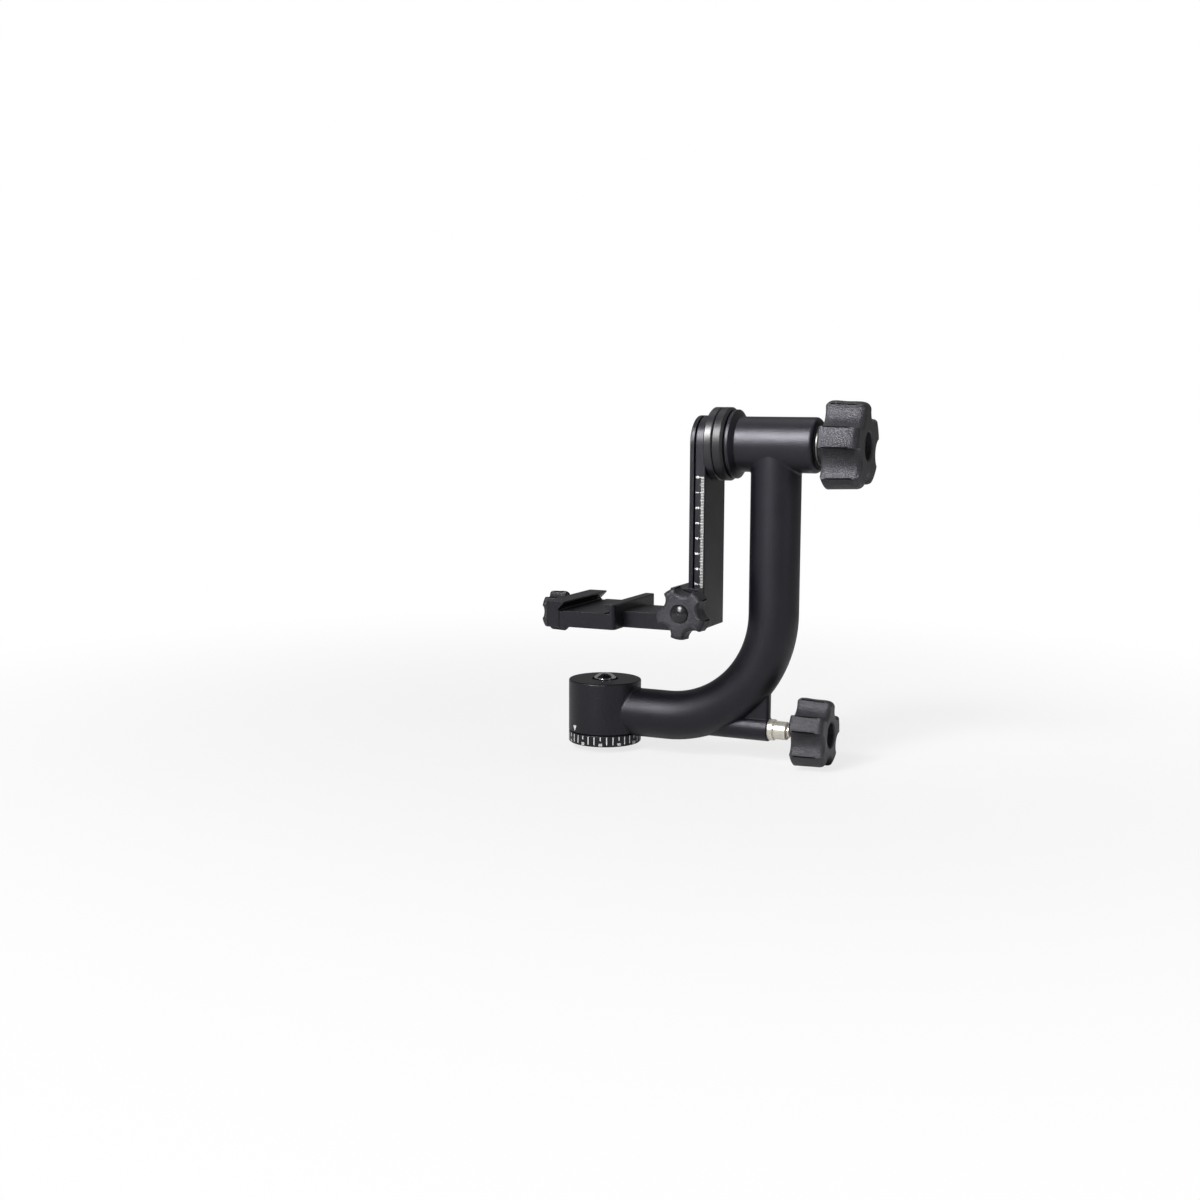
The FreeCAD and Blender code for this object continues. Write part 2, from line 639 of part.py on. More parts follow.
def j_arm():
    column = bent_tube().fuse(sleeve())
    column = fillet_where(column, TEE_FILLET, tee_edge)
    column = fillet_where(column.fuse(housing()), TUBE_FILLET, tube_edge)
    body = column.fuse([lock_boss(), lock_web()])
    for tool in spindle_bores() + lock_bores() + shaft_bores():
        body = body.cut(tool)
    return one_solid(body)


def pan_bush():
    bush = cyl_z(PAN_BUSH_R, PAN_BUSH_Z0, CAP_FLOOR)
    return bush.cut(cyl_z(SPINDLE_R + RUN_GAP, PAN_BUSH_Z0 - CUT, CAP_FLOOR + CUT))


def thrust_ring():
    z0 = FLANGE_POCKET_TOP - THRUST_RING_T
    ring = cyl_z(SPINDLE_FLANGE_R - THRUST_RING_INSET, z0, FLANGE_POCKET_TOP)
    return ring.cut(cyl_z(PAN_BUSH_R + THRUST_RING_INSET, z0 - CUT, FLANGE_POCKET_TOP + CUT))


def pan_lock_bush():
    x0 = BOSS_X1
    x1 = x0 + LOCK_BUSH_FLANGE_T
    inner = x0 - LOCK_BUSH_IN
    edge, chamfer = LOCK_BUSH_EDGE, LOCK_BUSH_CHAMFER
    bush = turned_x([(inner, 0), (inner, LOCK_BUSH_THREAD_R - edge), (inner + edge, LOCK_BUSH_THREAD_R),
                     (x0, LOCK_BUSH_THREAD_R), (x0, LOCK_BUSH_FLANGE_R - edge),
                     (x0 + edge, LOCK_BUSH_FLANGE_R), (x1 - edge, LOCK_BUSH_FLANGE_R),
                     (x1, LOCK_BUSH_FLANGE_R - edge), (x1, LOCK_BUSH_R),
                     (LOCK_NOSE_X0 - chamfer, LOCK_BUSH_R), (LOCK_NOSE_X0, LOCK_BUSH_R - chamfer),
                     (LOCK_NOSE_X0, LOCK_NOSE_R), (LOCK_BUSH_X1 - edge, LOCK_NOSE_R),
                     (LOCK_BUSH_X1, LOCK_NOSE_R - edge), (LOCK_BUSH_X1, 0)], z=LOCK_Z)
    return bush.cut(cyl_x(ROD_R + RUN_GAP, inner - CUT, LOCK_BUSH_X1 + CUT, z=LOCK_Z))


def friction_disc():
    disc = turned_x([(DISC_X0, 0), (DISC_X0, DISC_R - DISC_EDGE), (DISC_X0 + DISC_EDGE, DISC_R),
                     (DISC_X1 - DISC_BEVEL, DISC_R), (DISC_X1, DISC_R - DISC_BEVEL),
                     (DISC_X1, SPIGOT_R), (SPIGOT_END, SPIGOT_R), (SPIGOT_END, 0)])
    return disc.cut(cyl_x(TILT_BUSH_R, DISC_X0 - CUT, SPIGOT_END + CUT))


def friction_ring():
    x0 = DISC_X0 - FRICTION_RING_T
    ring = cyl_x(FRICTION_RING_R, x0, DISC_X0)
    return ring.cut(cyl_x(TILT_BUSH_R + SLEEVE_BORE_GAP, x0 - CUT, DISC_X0 + CUT))


def tilt_bush(x0):
    x1 = x0 + TILT_BUSH_LEN
    return cyl_x(TILT_BUSH_R, x0, x1).cut(cyl_x(SHAFT_R + RUN_GAP, x0 - CUT, x1 + CUT))


# Pan lock

def pan_lock_pad():
    pad = cyl_x(PAD_R, SPINDLE_R / 2, PAD_X1, z=LOCK_Z)
    return pad.cut(cyl_z(SPINDLE_R + RUN_GAP, 0, SPINDLE_TOP))


def pan_lock_rod():
    return cyl_x(ROD_R, PAD_X1, ROD_END, z=LOCK_Z)


def pan_knob():
    origin = V(PAN_KNOB_X0, 0, LOCK_Z)
    knob = star_knob(origin, AXIS_X, AXIS_Z, -AXIS_Y, PAN_KNOB_R, PAN_KNOB_LEN, PAN_KNOB_PHASE)
    knob = knob.fuse(cyl_x(PAN_KNOB_COLLAR_R, PAN_COLLAR_X0, PAN_KNOB_X0 + ROOT, z=LOCK_Z))
    knob = knob.cut(recess(PAN_RECESS_R, RECESS_DEPTH, V(PAN_KNOB_X1, 0, LOCK_Z), AXIS_X, AXIS_Z))
    knob = knob.cut(cyl_x(ROD_R, PAN_COLLAR_X0 - CUT, ROD_END, z=LOCK_Z))
    insert_x1 = PAN_COLLAR_X0 + PAN_INSERT_LEN
    return one_solid(knob.cut(cyl_x(PAN_INSERT_R, PAN_COLLAR_X0 - CUT, insert_x1, z=LOCK_Z)))


def pan_knob_insert():
    x0 = PAN_COLLAR_X0
    x1 = x0 + PAN_INSERT_LEN
    return cyl_x(PAN_INSERT_R, x0, x1, z=LOCK_Z).cut(cyl_x(ROD_R, x0 - CUT, x1 + CUT, z=LOCK_Z))


def pan_knob_cap():
    return recess_cap(PAN_RECESS_R, V(PAN_RECESS_X, 0, LOCK_Z), AXIS_X)


# Swing arm

def rail_groove():
    """Slot that runs up one edge of the rail, round its top and down the other."""
    floor = RAIL_HALF_W - GROOVE_DEPTH
    rim = RAIL_HALF_W + CUT
    x0, x1 = GROOVE_X0, GROOVE_X1
    top = cyl_x(rim, x0, x1).cut(cyl_x(floor, x0 - CUT, x1 + CUT))
    top = top.cut(box(x0 - CUT, x1 + CUT, -rim - CUT, rim + CUT, TILT_Z - rim - CUT, TILT_Z))
    sides = [box(x0, x1, y, y + GROOVE_DEPTH + CUT, RAIL_Z0 - CUT, TILT_Z) for y in (-rim, floor)]
    return top.fuse(sides)


def rail():
    stem = box(RAIL_X0, RAIL_X1, -RAIL_HALF_W, RAIL_HALF_W, RAIL_Z0, TILT_Z)
    body = stem.fuse(cyl_x(RAIL_HALF_W, RAIL_X0, RAIL_X1)).removeSplitter()
    body = fillet_where(body, RAIL_EDGE, lambda e: abs(e.CenterOfMass.x - RAIL_X0) < 1e-4
                        or abs(e.CenterOfMass.x - RAIL_X1) < 1e-4)
    body = body.cut(rail_groove())
    body = body.cut(cyl_x(SHAFT_R, RAIL_X0 - CUT, RAIL_X1 + CUT))
    body = body.cut(cyl_x(SHAFT_HEAD_R, RAIL_X0 - CUT, SHAFT_HEAD_X1))
    head_x1 = RAIL_X0 + HUB_SCREW_SINK + HUB_SCREW_HEAD_T
    for y, z in polar(HUB_SCREWS, HUB_SCREW_CIRCLE_R):
        body = body.cut(cyl_x(HUB_SCREW_R, RAIL_X0 - CUT, RAIL_X1 + CUT, y, TILT_Z + z))
        body = body.cut(cyl_x(HUB_SCREW_HEAD_R + HEAD_GAP, RAIL_X0 - CUT, head_x1, y, TILT_Z + z))
    body = body.cut(cyl_x(STOP_PIN_R, RAIL_X0 - CUT, RAIL_X0 + STOP_PIN_IN, z=STOP_PIN_Z))
    return one_solid(body)


def rail_stop_pin():
    return cyl_x(STOP_PIN_R, RAIL_X0 - STOP_PIN_OUT, RAIL_X0 + STOP_PIN_IN, z=STOP_PIN_Z)


def hub_disc():
    disc = cyl_x(HUB_R, RAIL_X1, HUB_X1)
    disc = disc.makeChamfer(HUB_EDGE, [e for e in disc.Edges if isinstance(e.Curve, Part.Circle)])
    disc = disc.cut(cyl_x(SHAFT_R, RAIL_X1 - CUT, HUB_X1 + CUT))
    for y, z in polar(HUB_SCREWS, HUB_SCREW_CIRCLE_R):
        disc = disc.cut(cyl_x(HUB_SCREW_R, RAIL_X1 - CUT, HUB_SCREW_END, y, TILT_Z + z))
    return disc


def hub_screw(y, z):
    x0 = RAIL_X0 + HUB_SCREW_SINK
    head = cyl_x(HUB_SCREW_HEAD_R, x0, x0 + HUB_SCREW_HEAD_T, y, z)
    screw = head.fuse(cyl_x(HUB_SCREW_R, x0 + HUB_SCREW_HEAD_T / 2, HUB_SCREW_END, y, z))
    return one_solid(screw.cut(hexagon(SMALL_HEX, SMALL_HEX_DEPTH, V(x0, y, z), AXIS_X, AXIS_Z)))


def tilt_shaft():
    x0, x1 = SHAFT_HEAD_X0, SHAFT_HEAD_X1
    shaft = turned_x([(x0, 0), (x0, SHAFT_HEAD_R - SHAFT_HEAD_EDGE), (x0 + SHAFT_HEAD_EDGE, SHAFT_HEAD_R),
                      (x1, SHAFT_HEAD_R), (x1, SHAFT_R), (SHAFT_SHOULDER - THREAD_EDGE, SHAFT_R),
                      (SHAFT_SHOULDER, SHAFT_R - THREAD_EDGE), (SHAFT_SHOULDER, SHAFT_THREAD_R),
                      (SHAFT_END - THREAD_EDGE, SHAFT_THREAD_R),
                      (SHAFT_END, SHAFT_THREAD_R - THREAD_EDGE), (SHAFT_END, 0)])
    return shaft.cut(hexagon(SHAFT_HEX, SHAFT_HEX_DEPTH, V(x0, 0, TILT_Z), AXIS_X, AXIS_Z))


# Tilt lock

def tilt_washer():
    washer = cyl_x(TILT_WASHER_R, TILT_WASHER_X0, TILT_COLLAR_X0)
    return washer.cut(cyl_x(SHAFT_R + RUN_GAP, TILT_WASHER_X0 - CUT, TILT_COLLAR_X0 + CUT))


def tilt_knob():
    origin = V(TILT_KNOB_X0, 0, TILT_Z)
    knob = star_knob(origin, AXIS_X, AXIS_Z, -AXIS_Y, TILT_KNOB_R, TILT_KNOB_LEN, TILT_KNOB_PHASE)
    knob = knob.fuse(cyl_x(TILT_COLLAR_R, TILT_COLLAR_X0, TILT_KNOB_X0 + ROOT))
    knob = knob.cut(recess(TILT_RECESS_R, RECESS_DEPTH, V(TILT_KNOB_X1, 0, TILT_Z), AXIS_X, AXIS_Z))
    knob = knob.cut(cyl_x(TILT_INSERT_R, TILT_COLLAR_X0 - CUT, TILT_INSERT_X1))
    return one_solid(knob.cut(cyl_x(SHAFT_THREAD_R + WALL_GAP, TILT_COLLAR_X0, SHAFT_END + CUT)))


def tilt_knob_insert():
    x0, x1 = TILT_COLLAR_X0, TILT_INSERT_X1
    insert = cyl_x(TILT_INSERT_R, x0, x1).cut(cyl_x(SHAFT_THREAD_R + RUN_GAP, x0 - CUT, x1 + CUT))
    return insert.cut(cyl_x(SHAFT_R + WALL_GAP, x0 - CUT, SHAFT_SHOULDER + FACE_GAP))


def tilt_knob_cap():
    return recess_cap(TILT_RECESS_R, V(TILT_RECESS_X, 0, TILT_Z), AXIS_X)


# Platform

def jaw_outline(outer, sign):
    """Dovetail jaw section in the XZ plane, from the channel's floor up."""
    return [(sign * outer, BAR_TOP), (sign * CHANNEL_HALF_FLOOR, BAR_TOP),
            (sign * CHANNEL_HALF_FLOOR, BAR_TOP + JAW_TOE), (sign * CHANNEL_HALF_TOP, JAW_TOP - JAW_LIP),
            (sign * CHANNEL_HALF_TOP, JAW_TOP), (sign * (outer - JAW_EDGE), JAW_TOP),
            (sign * outer, JAW_TOP - JAW_EDGE)]


def jaw_ridge(outer, sign):
    path = [V(x, -PAD_HALF_W, z) for x, z in jaw_outline(outer, sign)]
    return Part.Face(Part.makePolygon(path + [path[0]])).extrude(V(0, 2 * PAD_HALF_W, 0))


def clamp_pad():
    pad = box(PAD_X_IN, PAD_X_OUT, -PAD_HALF_W, PAD_HALF_W, BAR_Z0, BAR_TOP)
    body = pad.fuse(jaw_ridge(PAD_X_OUT, 1)).removeSplitter()
    return fillet_where(body, PAD_CORNER, lambda e: upright_at(e, PAD_X_OUT, PAD_HALF_W))


def rail_block():
    """Channel around the rail, with tongues in its two grooves."""
    back = box(BLOCK_X0, RAIL_X0 - FACE_GAP, -BLOCK_HALF_W, BLOCK_HALF_W, BLOCK_Z0, BLOCK_Z1)
    front = box(BLOCK_X0, BLOCK_X1, -BLOCK_HALF_W, -CHANNEL_Y, BLOCK_Z0, BLOCK_Z1)
    hook_x = GROOVE_X1 - TONGUE_GAP
    hook = box(BLOCK_X0, hook_x, CHANNEL_Y, BLOCK_HALF_W, BLOCK_Z0, BLOCK_Z1)
    tongue_y = RAIL_HALF_W - TONGUE_DEPTH
    tongues = [box(GROOVE_X0 + TONGUE_GAP, hook_x, y, y + BLOCK_HALF_W - tongue_y, BLOCK_Z0, BLOCK_Z1)
               for y in (-BLOCK_HALF_W, tongue_y)]
    body = back.fuse([front, hook] + tongues).removeSplitter()
    middle = (BLOCK_Z0 + BLOCK_Z1) / 2
    return fillet_where(body, BLOCK_EDGE, lambda e: abs(abs(e.CenterOfMass.y) - BLOCK_HALF_W) < 1e-3
                        and abs(e.CenterOfMass.z - middle) < 1e-3)


def seat_cuts():
    """Open channel floor, with a relief along each side of the plate's seat."""
    y = PAD_HALF_W + CUT
    floor = box(PAD_X_IN - CUT, CHANNEL_HALF_TOP, -y, y, BAR_TOP, JAW_TOP + CUT)
    z0 = BAR_TOP - SEAT_RELIEF
    sides = ((PAD_X_IN - CUT, -SEAT_HALF_W), (SEAT_HALF_W, CHANNEL_HALF_FLOOR))
    return [floor] + [box(x0, x1, -y, y, z0, BAR_TOP) for x0, x1 in sides]


def bracket():
    bar = box(PAD_X_IN, RAIL_X0 - FACE_GAP, -BAR_HALF_W, BAR_HALF_W, BAR_Z0, BAR_TOP)
    body = rail_block().fuse([bar, clamp_pad()])
    body = fillet_where(body, BLOCK_FILLET, lambda e: abs(e.CenterOfMass.x - BLOCK_X0) < 1e-3
                        and abs(e.CenterOfMass.z - BAR_TOP) < 1e-3 and abs(e.CenterOfMass.y) < 1e-3)
    body = body.cut(seat_cuts())
    x, z, face = RAIL_KNOB_CX, RAIL_KNOB_CZ, -RAIL_HALF_W
    body = body.fuse(cyl_y(RAIL_BOSS_R, RAIL_BOSS_Y, -BLOCK_HALF_W + RAIL_BOSS_ROOT, x, z))
    body = body.cut(cyl_y(STUD_R + RUN_GAP, RAIL_BOSS_Y - CUT, face, x, z))
    body = body.cut(cyl_y(SHOE_R + RUN_GAP, face - SHOE_POCKET, face + GROOVE_DEPTH, x, z))
    slot_x = RAIL_X0 - STOP_PIN_OUT - FACE_GAP
    slot_y = STOP_PIN_R + FACE_GAP
    body = body.cut(box(slot_x, RAIL_X0, -slot_y, slot_y, BAR_Z0 - CUT, STOP_SLOT_TOP))
    stud_x1 = PAD_X_IN + CLAMP_STUD_GRIP + STUD_ROOM
    body = body.cut(cyl_x(STUD_R + RUN_GAP, PAD_X_IN - CUT, stud_x1, z=CLAMP_STUD_Z))
    for y in (-PIN_Y, PIN_Y):
        body = body.cut(cyl_x(PIN_R, PAD_X_IN - CUT, PAD_X_IN + PIN_GRIP, y, CLAMP_STUD_Z))
    return one_solid(body)


def guide_pin(y):
    pin = cyl_x(PIN_R, JAW_X_OUT + PIN_SINK, PAD_X_IN + PIN_GRIP, y, CLAMP_STUD_Z)
    return pin.makeChamfer(PIN_EDGE, [e for e in pin.Edges if isinstance(e.Curve, Part.Circle)])


# Rail lock

def rail_shoe():
    y1 = -RAIL_HALF_W - RUN_GAP
    return cyl_y(SHOE_R, y1 - SHOE_T, y1, RAIL_KNOB_CX, RAIL_KNOB_CZ)


def rail_stud():
    y0 = RAIL_KNOB_Y - RAIL_KNOB_LEN + STUD_END_WALL
    y1 = -RAIL_HALF_W - RUN_GAP - SHOE_T
    return cyl_y(STUD_R, y0, y1, RAIL_KNOB_CX, RAIL_KNOB_CZ)


def rail_knob():
    x, z = RAIL_KNOB_CX, RAIL_KNOB_CZ
    origin = V(x, RAIL_KNOB_Y, z)
    knob = star_knob(origin, -AXIS_Y, AXIS_Z, AXIS_X, RAIL_KNOB_R, RAIL_KNOB_LEN, RAIL_KNOB_PHASE)
    knob = knob.fuse(cyl_y(RAIL_COLLAR_R, RAIL_KNOB_Y - ROOT, RAIL_KNOB_Y + RAIL_COLLAR_T, x, z))
    tip = origin - AXIS_Y * RAIL_KNOB_LEN
    knob = knob.cut(recess(RAIL_RECESS_R, RAIL_RECESS_DEPTH, tip, -AXIS_Y, AXIS_Z))
    return one_solid(knob.cut(rail_stud()))


def rail_knob_cap():
    floor = V(RAIL_KNOB_CX, RAIL_KNOB_Y - RAIL_KNOB_LEN + RAIL_RECESS_DEPTH, RAIL_KNOB_CZ)
    return domed_cap(RAIL_RECESS_R, RAIL_RECESS_DEPTH, RAIL_CAP_RISE, floor, -AXIS_Y, AXIS_Z)


# Quick-release clamp

def clamp_jaw():
    back = box(JAW_X_OUT, JAW_X_IN, -PAD_HALF_W, PAD_HALF_W, BAR_Z0, BAR_TOP)
    body = back.fuse(jaw_ridge(-JAW_X_OUT, -1)).removeSplitter()
    body = fillet_where(body, PAD_CORNER, lambda e: upright_at(e, JAW_X_OUT, PAD_HALF_W))
    x0, x1 = JAW_X_OUT - CUT, JAW_X_IN + CUT
    body = body.cut(cyl_x(STUD_R + WALL_GAP, x0, x1, z=CLAMP_STUD_Z))
    for y in (-PIN_Y, PIN_Y):
        body = body.cut(cyl_x(PIN_R + RUN_GAP, x0, x1, y, CLAMP_STUD_Z))
    return one_solid(body)


def clamp_stud():
    x0 = CLAMP_KNOB_X - CLAMP_KNOB_LEN + CLAMP_STUD_WALL
    return cyl_x(STUD_R, x0, PAD_X_IN + CLAMP_STUD_GRIP, z=CLAMP_STUD_Z)


def clamp_knob():
    origin = V(CLAMP_KNOB_X, 0, CLAMP_STUD_Z)
    knob = star_knob(origin, -AXIS_X, AXIS_Z, AXIS_Y, CLAMP_KNOB_R, CLAMP_KNOB_LEN, CLAMP_KNOB_PHASE)
    knob = knob.fuse(cyl_x(CLAMP_COLLAR_R, CLAMP_KNOB_X - ROOT, JAW_X_OUT, z=CLAMP_STUD_Z))
    tip = origin - AXIS_X * CLAMP_KNOB_LEN
    knob = knob.cut(recess(CLAMP_RECESS_R, CLAMP_RECESS_DEPTH, tip, -AXIS_X, AXIS_Z))
    return one_solid(knob.cut(clamp_stud()))


def clamp_knob_cap():
    floor_x = CLAMP_KNOB_X - CLAMP_KNOB_LEN + CLAMP_RECESS_DEPTH
    return recess_cap(CLAMP_RECESS_R, V(floor_x, 0, CLAMP_STUD_Z), -AXIS_X)


def nodes():
    yield "base_plate", base_plate()
    yield "thread_insert", thread_insert()
    yield "pan_spindle", pan_spindle()
    yield "spindle_washer", spindle_washer()
    yield "spindle_nut", spindle_nut()
    for i, (x, y) in enumerate(polar(BASE_SCREWS, BASE_SCREW_CIRCLE_R), 1):
        yield "base_screw_%d" % i, base_screw(x, y)
    yield "j_arm", j_arm()
    yield "pan_bush", pan_bush()
    yield "thrust_ring", thrust_ring()
    yield "pan_lock_bush", pan_lock_bush()
    yield "friction_disc", friction_disc()
    yield "friction_ring", friction_ring()
    yield "tilt_bush_inner", tilt_bush(INNER_BUSH_X0)
    yield "tilt_bush_outer", tilt_bush(OUTER_BUSH_X0)
    yield "pan_lock_pad", pan_lock_pad()
    yield "pan_lock_rod", pan_lock_rod()
    yield "pan_knob", pan_knob()
    yield "pan_knob_insert", pan_knob_insert()
    yield "pan_knob_cap", pan_knob_cap()
    yield "rail", rail()
    yield "hub_disc", hub_disc()
    yield "tilt_shaft", tilt_shaft()
    for i, (y, z) in enumerate(polar(HUB_SCREWS, HUB_SCREW_CIRCLE_R), 1):
        yield "hub_screw_%d" % i, hub_screw(y, TILT_Z + z)
    yield "rail_stop_pin", rail_stop_pin()
    yield "tilt_washer", tilt_washer()
    yield "tilt_knob", tilt_knob()
    yield "tilt_knob_insert", tilt_knob_insert()
    yield "tilt_knob_cap", tilt_knob_cap()
    yield "bracket", bracket()
    yield "guide_pin_1", guide_pin(-PIN_Y)
    yield "guide_pin_2", guide_pin(PIN_Y)
    yield "rail_shoe", rail_shoe()
    yield "rail_stud", rail_stud()
    yield "rail_knob", rail_knob()
    yield "rail_knob_cap", rail_knob_cap()
    yield "clamp_jaw", clamp_jaw()
    yield "clamp_stud", clamp_stud()
    yield "clamp_knob", clamp_knob()
    yield "clamp_knob_cap", clamp_knob_cap()


def main():
    os.makedirs("parts", exist_ok=True)
    for name, shape in nodes():
        if shape.isNull() or not shape.isValid() or len(shape.Solids) != 1:
            print("CHECK", name, "valid", shape.isValid(), "solids", len(shape.Solids))
        shape.exportStep("parts/%s.step" % name)
        print(name, round(shape.Volume, 1))


main()
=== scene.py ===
import json
import math

import bmesh
import bpy
from mathutils import Matrix, Vector

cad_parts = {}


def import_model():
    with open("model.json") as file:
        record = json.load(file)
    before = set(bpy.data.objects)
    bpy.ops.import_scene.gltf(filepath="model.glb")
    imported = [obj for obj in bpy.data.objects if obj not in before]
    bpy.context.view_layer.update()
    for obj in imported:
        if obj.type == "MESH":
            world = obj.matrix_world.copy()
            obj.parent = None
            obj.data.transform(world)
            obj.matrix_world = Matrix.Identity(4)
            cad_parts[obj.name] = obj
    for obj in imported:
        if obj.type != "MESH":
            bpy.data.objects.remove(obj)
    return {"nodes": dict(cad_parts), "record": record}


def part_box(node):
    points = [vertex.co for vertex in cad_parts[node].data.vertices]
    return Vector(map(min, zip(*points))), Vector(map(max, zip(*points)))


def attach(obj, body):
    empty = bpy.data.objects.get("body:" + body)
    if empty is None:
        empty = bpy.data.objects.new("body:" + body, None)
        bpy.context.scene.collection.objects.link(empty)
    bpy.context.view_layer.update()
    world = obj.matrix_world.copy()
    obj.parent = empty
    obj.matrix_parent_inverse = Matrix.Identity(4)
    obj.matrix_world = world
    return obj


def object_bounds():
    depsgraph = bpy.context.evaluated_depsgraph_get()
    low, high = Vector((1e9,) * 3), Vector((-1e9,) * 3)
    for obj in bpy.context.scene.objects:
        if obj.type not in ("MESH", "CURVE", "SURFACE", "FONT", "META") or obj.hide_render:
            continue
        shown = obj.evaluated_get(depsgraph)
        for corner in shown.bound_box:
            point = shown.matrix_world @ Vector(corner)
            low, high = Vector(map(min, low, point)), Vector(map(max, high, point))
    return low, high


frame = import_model()
cad_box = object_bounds()
nodes = frame["nodes"]

MM = 0.001
X, Y, Z = Vector((1, 0, 0)), Vector((0, 1, 0)), Vector((0, 0, 1))


def middle(corners):
    """Middle of a box that is given by its lowest and highest corners."""
    low, high = corners
    return (low + high) / 2


# Places that the head's own parts give
ring_low, ring_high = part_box("base_plate")
RING_R = ring_high.x
RING_TOP = ring_high.z
rail_low, rail_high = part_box("rail")
RAIL_FACE_Y = rail_low.y
RAIL_EDGE_X = rail_high.x
TILT_Z = middle(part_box("hub_disc")).z
LOCK_Z = middle(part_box("pan_lock_bush")).z


# ---------------------------------------------------------------- materials

def node_group(name, inputs, outputs):
    group = bpy.data.node_groups.new(name, "ShaderNodeTree")
    for label, kind, value in inputs:
        socket = group.interface.new_socket(label, in_out="INPUT", socket_type=kind)
        if value is not None:
            socket.default_value = value
    for label, kind in outputs:
        group.interface.new_socket(label, in_out="OUTPUT", socket_type=kind)
    return group, group.nodes.new("NodeGroupInput"), group.nodes.new("NodeGroupOutput")


def fine_grain_group():
    """Sprayed or moulded grain: a value around 0.5 and a height."""
    group, inp, out = node_group(
        "FineGrain",
        [("Vector", "NodeSocketVector", None),
         ("Grains per metre", "NodeSocketFloat", 2600.0),
         ("Cloud scale", "NodeSocketFloat", 60.0),
         ("Cloud amount", "NodeSocketFloat", 0.4)],
        [("Value", "NodeSocketFloat"), ("Height", "NodeSocketFloat")])
    link = group.links.new
    grain = group.nodes.new("ShaderNodeTexNoise")
    grain.inputs["Detail"].default_value = 2.0
    grain.inputs["Roughness"].default_value = 0.6
    cloud = group.nodes.new("ShaderNodeTexNoise")
    cloud.inputs["Detail"].default_value = 3.0
    mix = group.nodes.new("ShaderNodeMix")
    mix.data_type = "FLOAT"
    link(inp.outputs["Vector"], grain.inputs["Vector"])
    link(inp.outputs["Vector"], cloud.inputs["Vector"])
    link(inp.outputs["Grains per metre"], grain.inputs["Scale"])
    link(inp.outputs["Cloud scale"], cloud.inputs["Scale"])
    link(inp.outputs["Cloud amount"], mix.inputs[0])
    link(grain.outputs[0], mix.inputs[2])
    link(cloud.outputs[0], mix.inputs[3])
    link(mix.outputs[0], out.inputs["Value"])
    link(grain.outputs[0], out.inputs["Height"])
    return group


def sharp_edge_group():
    """Mask that rises on a piece's sharp edges, and the normal of the softened edges."""
    group, inp, out = node_group(
        "SharpEdge",
        [("Vector", "NodeSocketVector", None),
         ("Width", "NodeSocketFloat", 0.4 * MM),
         ("Sharpness", "NodeSocketFloat", 6.0)],
        [("Mask", "NodeSocketFloat"), ("Normal", "NodeSocketVector")])
    link = group.links.new
    bevel = group.nodes.new("ShaderNodeBevel")
    bevel.samples = 6
    geometry = group.nodes.new("ShaderNodeNewGeometry")
    dot = group.nodes.new("ShaderNodeVectorMath")
    dot.operation = "DOT_PRODUCT"
    invert = group.nodes.new("ShaderNodeMath")
    invert.operation = "SUBTRACT"
    invert.inputs[0].default_value = 1.0
    gain = group.nodes.new("ShaderNodeMath")
    gain.operation = "MULTIPLY"
    patch = group.nodes.new("ShaderNodeTexNoise")
    patch.inputs["Scale"].default_value = 220.0
    patch.inputs["Detail"].default_value = 4.0
    broken = group.nodes.new("ShaderNodeMath")
    broken.operation = "MULTIPLY"
    broken.use_clamp = True
    link(inp.outputs["Vector"], patch.inputs["Vector"])
    link(inp.outputs["Width"], bevel.inputs["Radius"])
    link(bevel.outputs[0], dot.inputs[0])
    link(geometry.outputs["Normal"], dot.inputs[1])
    link(dot.outputs["Value"], invert.inputs[1])
    link(invert.outputs[0], gain.inputs[0])
    link(inp.outputs["Sharpness"], gain.inputs[1])
    link(gain.outputs[0], broken.inputs[0])
    link(patch.outputs[0], broken.inputs[1])
    link(broken.outputs[0], out.inputs["Mask"])
    link(bevel.outputs[0], out.inputs["Normal"])
    return group


def turned_lines_group():
    """Lathe marks about the X axis: by radius on faces, by length on sides."""
    group, inp, out = node_group(
        "TurnedLines",
        [("Vector", "NodeSocketVector", None),
         ("Lines per metre", "NodeSocketFloat", 3000.0)],
        [("Face", "NodeSocketFloat"), ("Side", "NodeSocketFloat")])
    link = group.links.new
    split = group.nodes.new("ShaderNodeSeparateXYZ")
    flat = group.nodes.new("ShaderNodeCombineXYZ")
    length = group.nodes.new("ShaderNodeVectorMath")
    length.operation = "LENGTH"
    link(inp.outputs["Vector"], split.inputs[0])
    link(split.outputs["Y"], flat.inputs["Y"])
    link(split.outputs["Z"], flat.inputs["Z"])
    link(flat.outputs[0], length.inputs[0])
    for source, label in ((length.outputs["Value"], "Face"), (split.outputs["X"], "Side")):
        noise = group.nodes.new("ShaderNodeTexNoise")
        noise.noise_dimensions = "1D"
        noise.inputs["Detail"].default_value = 3.0
        link(source, noise.inputs["W"])
        link(inp.outputs["Lines per metre"], noise.inputs["Scale"])
        link(noise.outputs[0], out.inputs[label])
    return group


FINE_GRAIN = fine_grain_group()
SHARP_EDGE = sharp_edge_group()
TURNED_LINES = turned_lines_group()


def start_material(name):
    material = bpy.data.materials.new(name)
    material.use_nodes = True
    tree = material.node_tree
    shader = tree.nodes["Principled BSDF"]
    coords = tree.nodes.new("ShaderNodeTexCoord")
    return material, tree, shader, coords.outputs["Object"]


def place_group(tree, group, vector, **values):
    node = tree.nodes.new("ShaderNodeGroup")
    node.node_tree = group
    tree.links.new(vector, node.inputs["Vector"])
    for label, value in values.items():
        node.inputs[label.replace("_", " ")].default_value = value
    return node


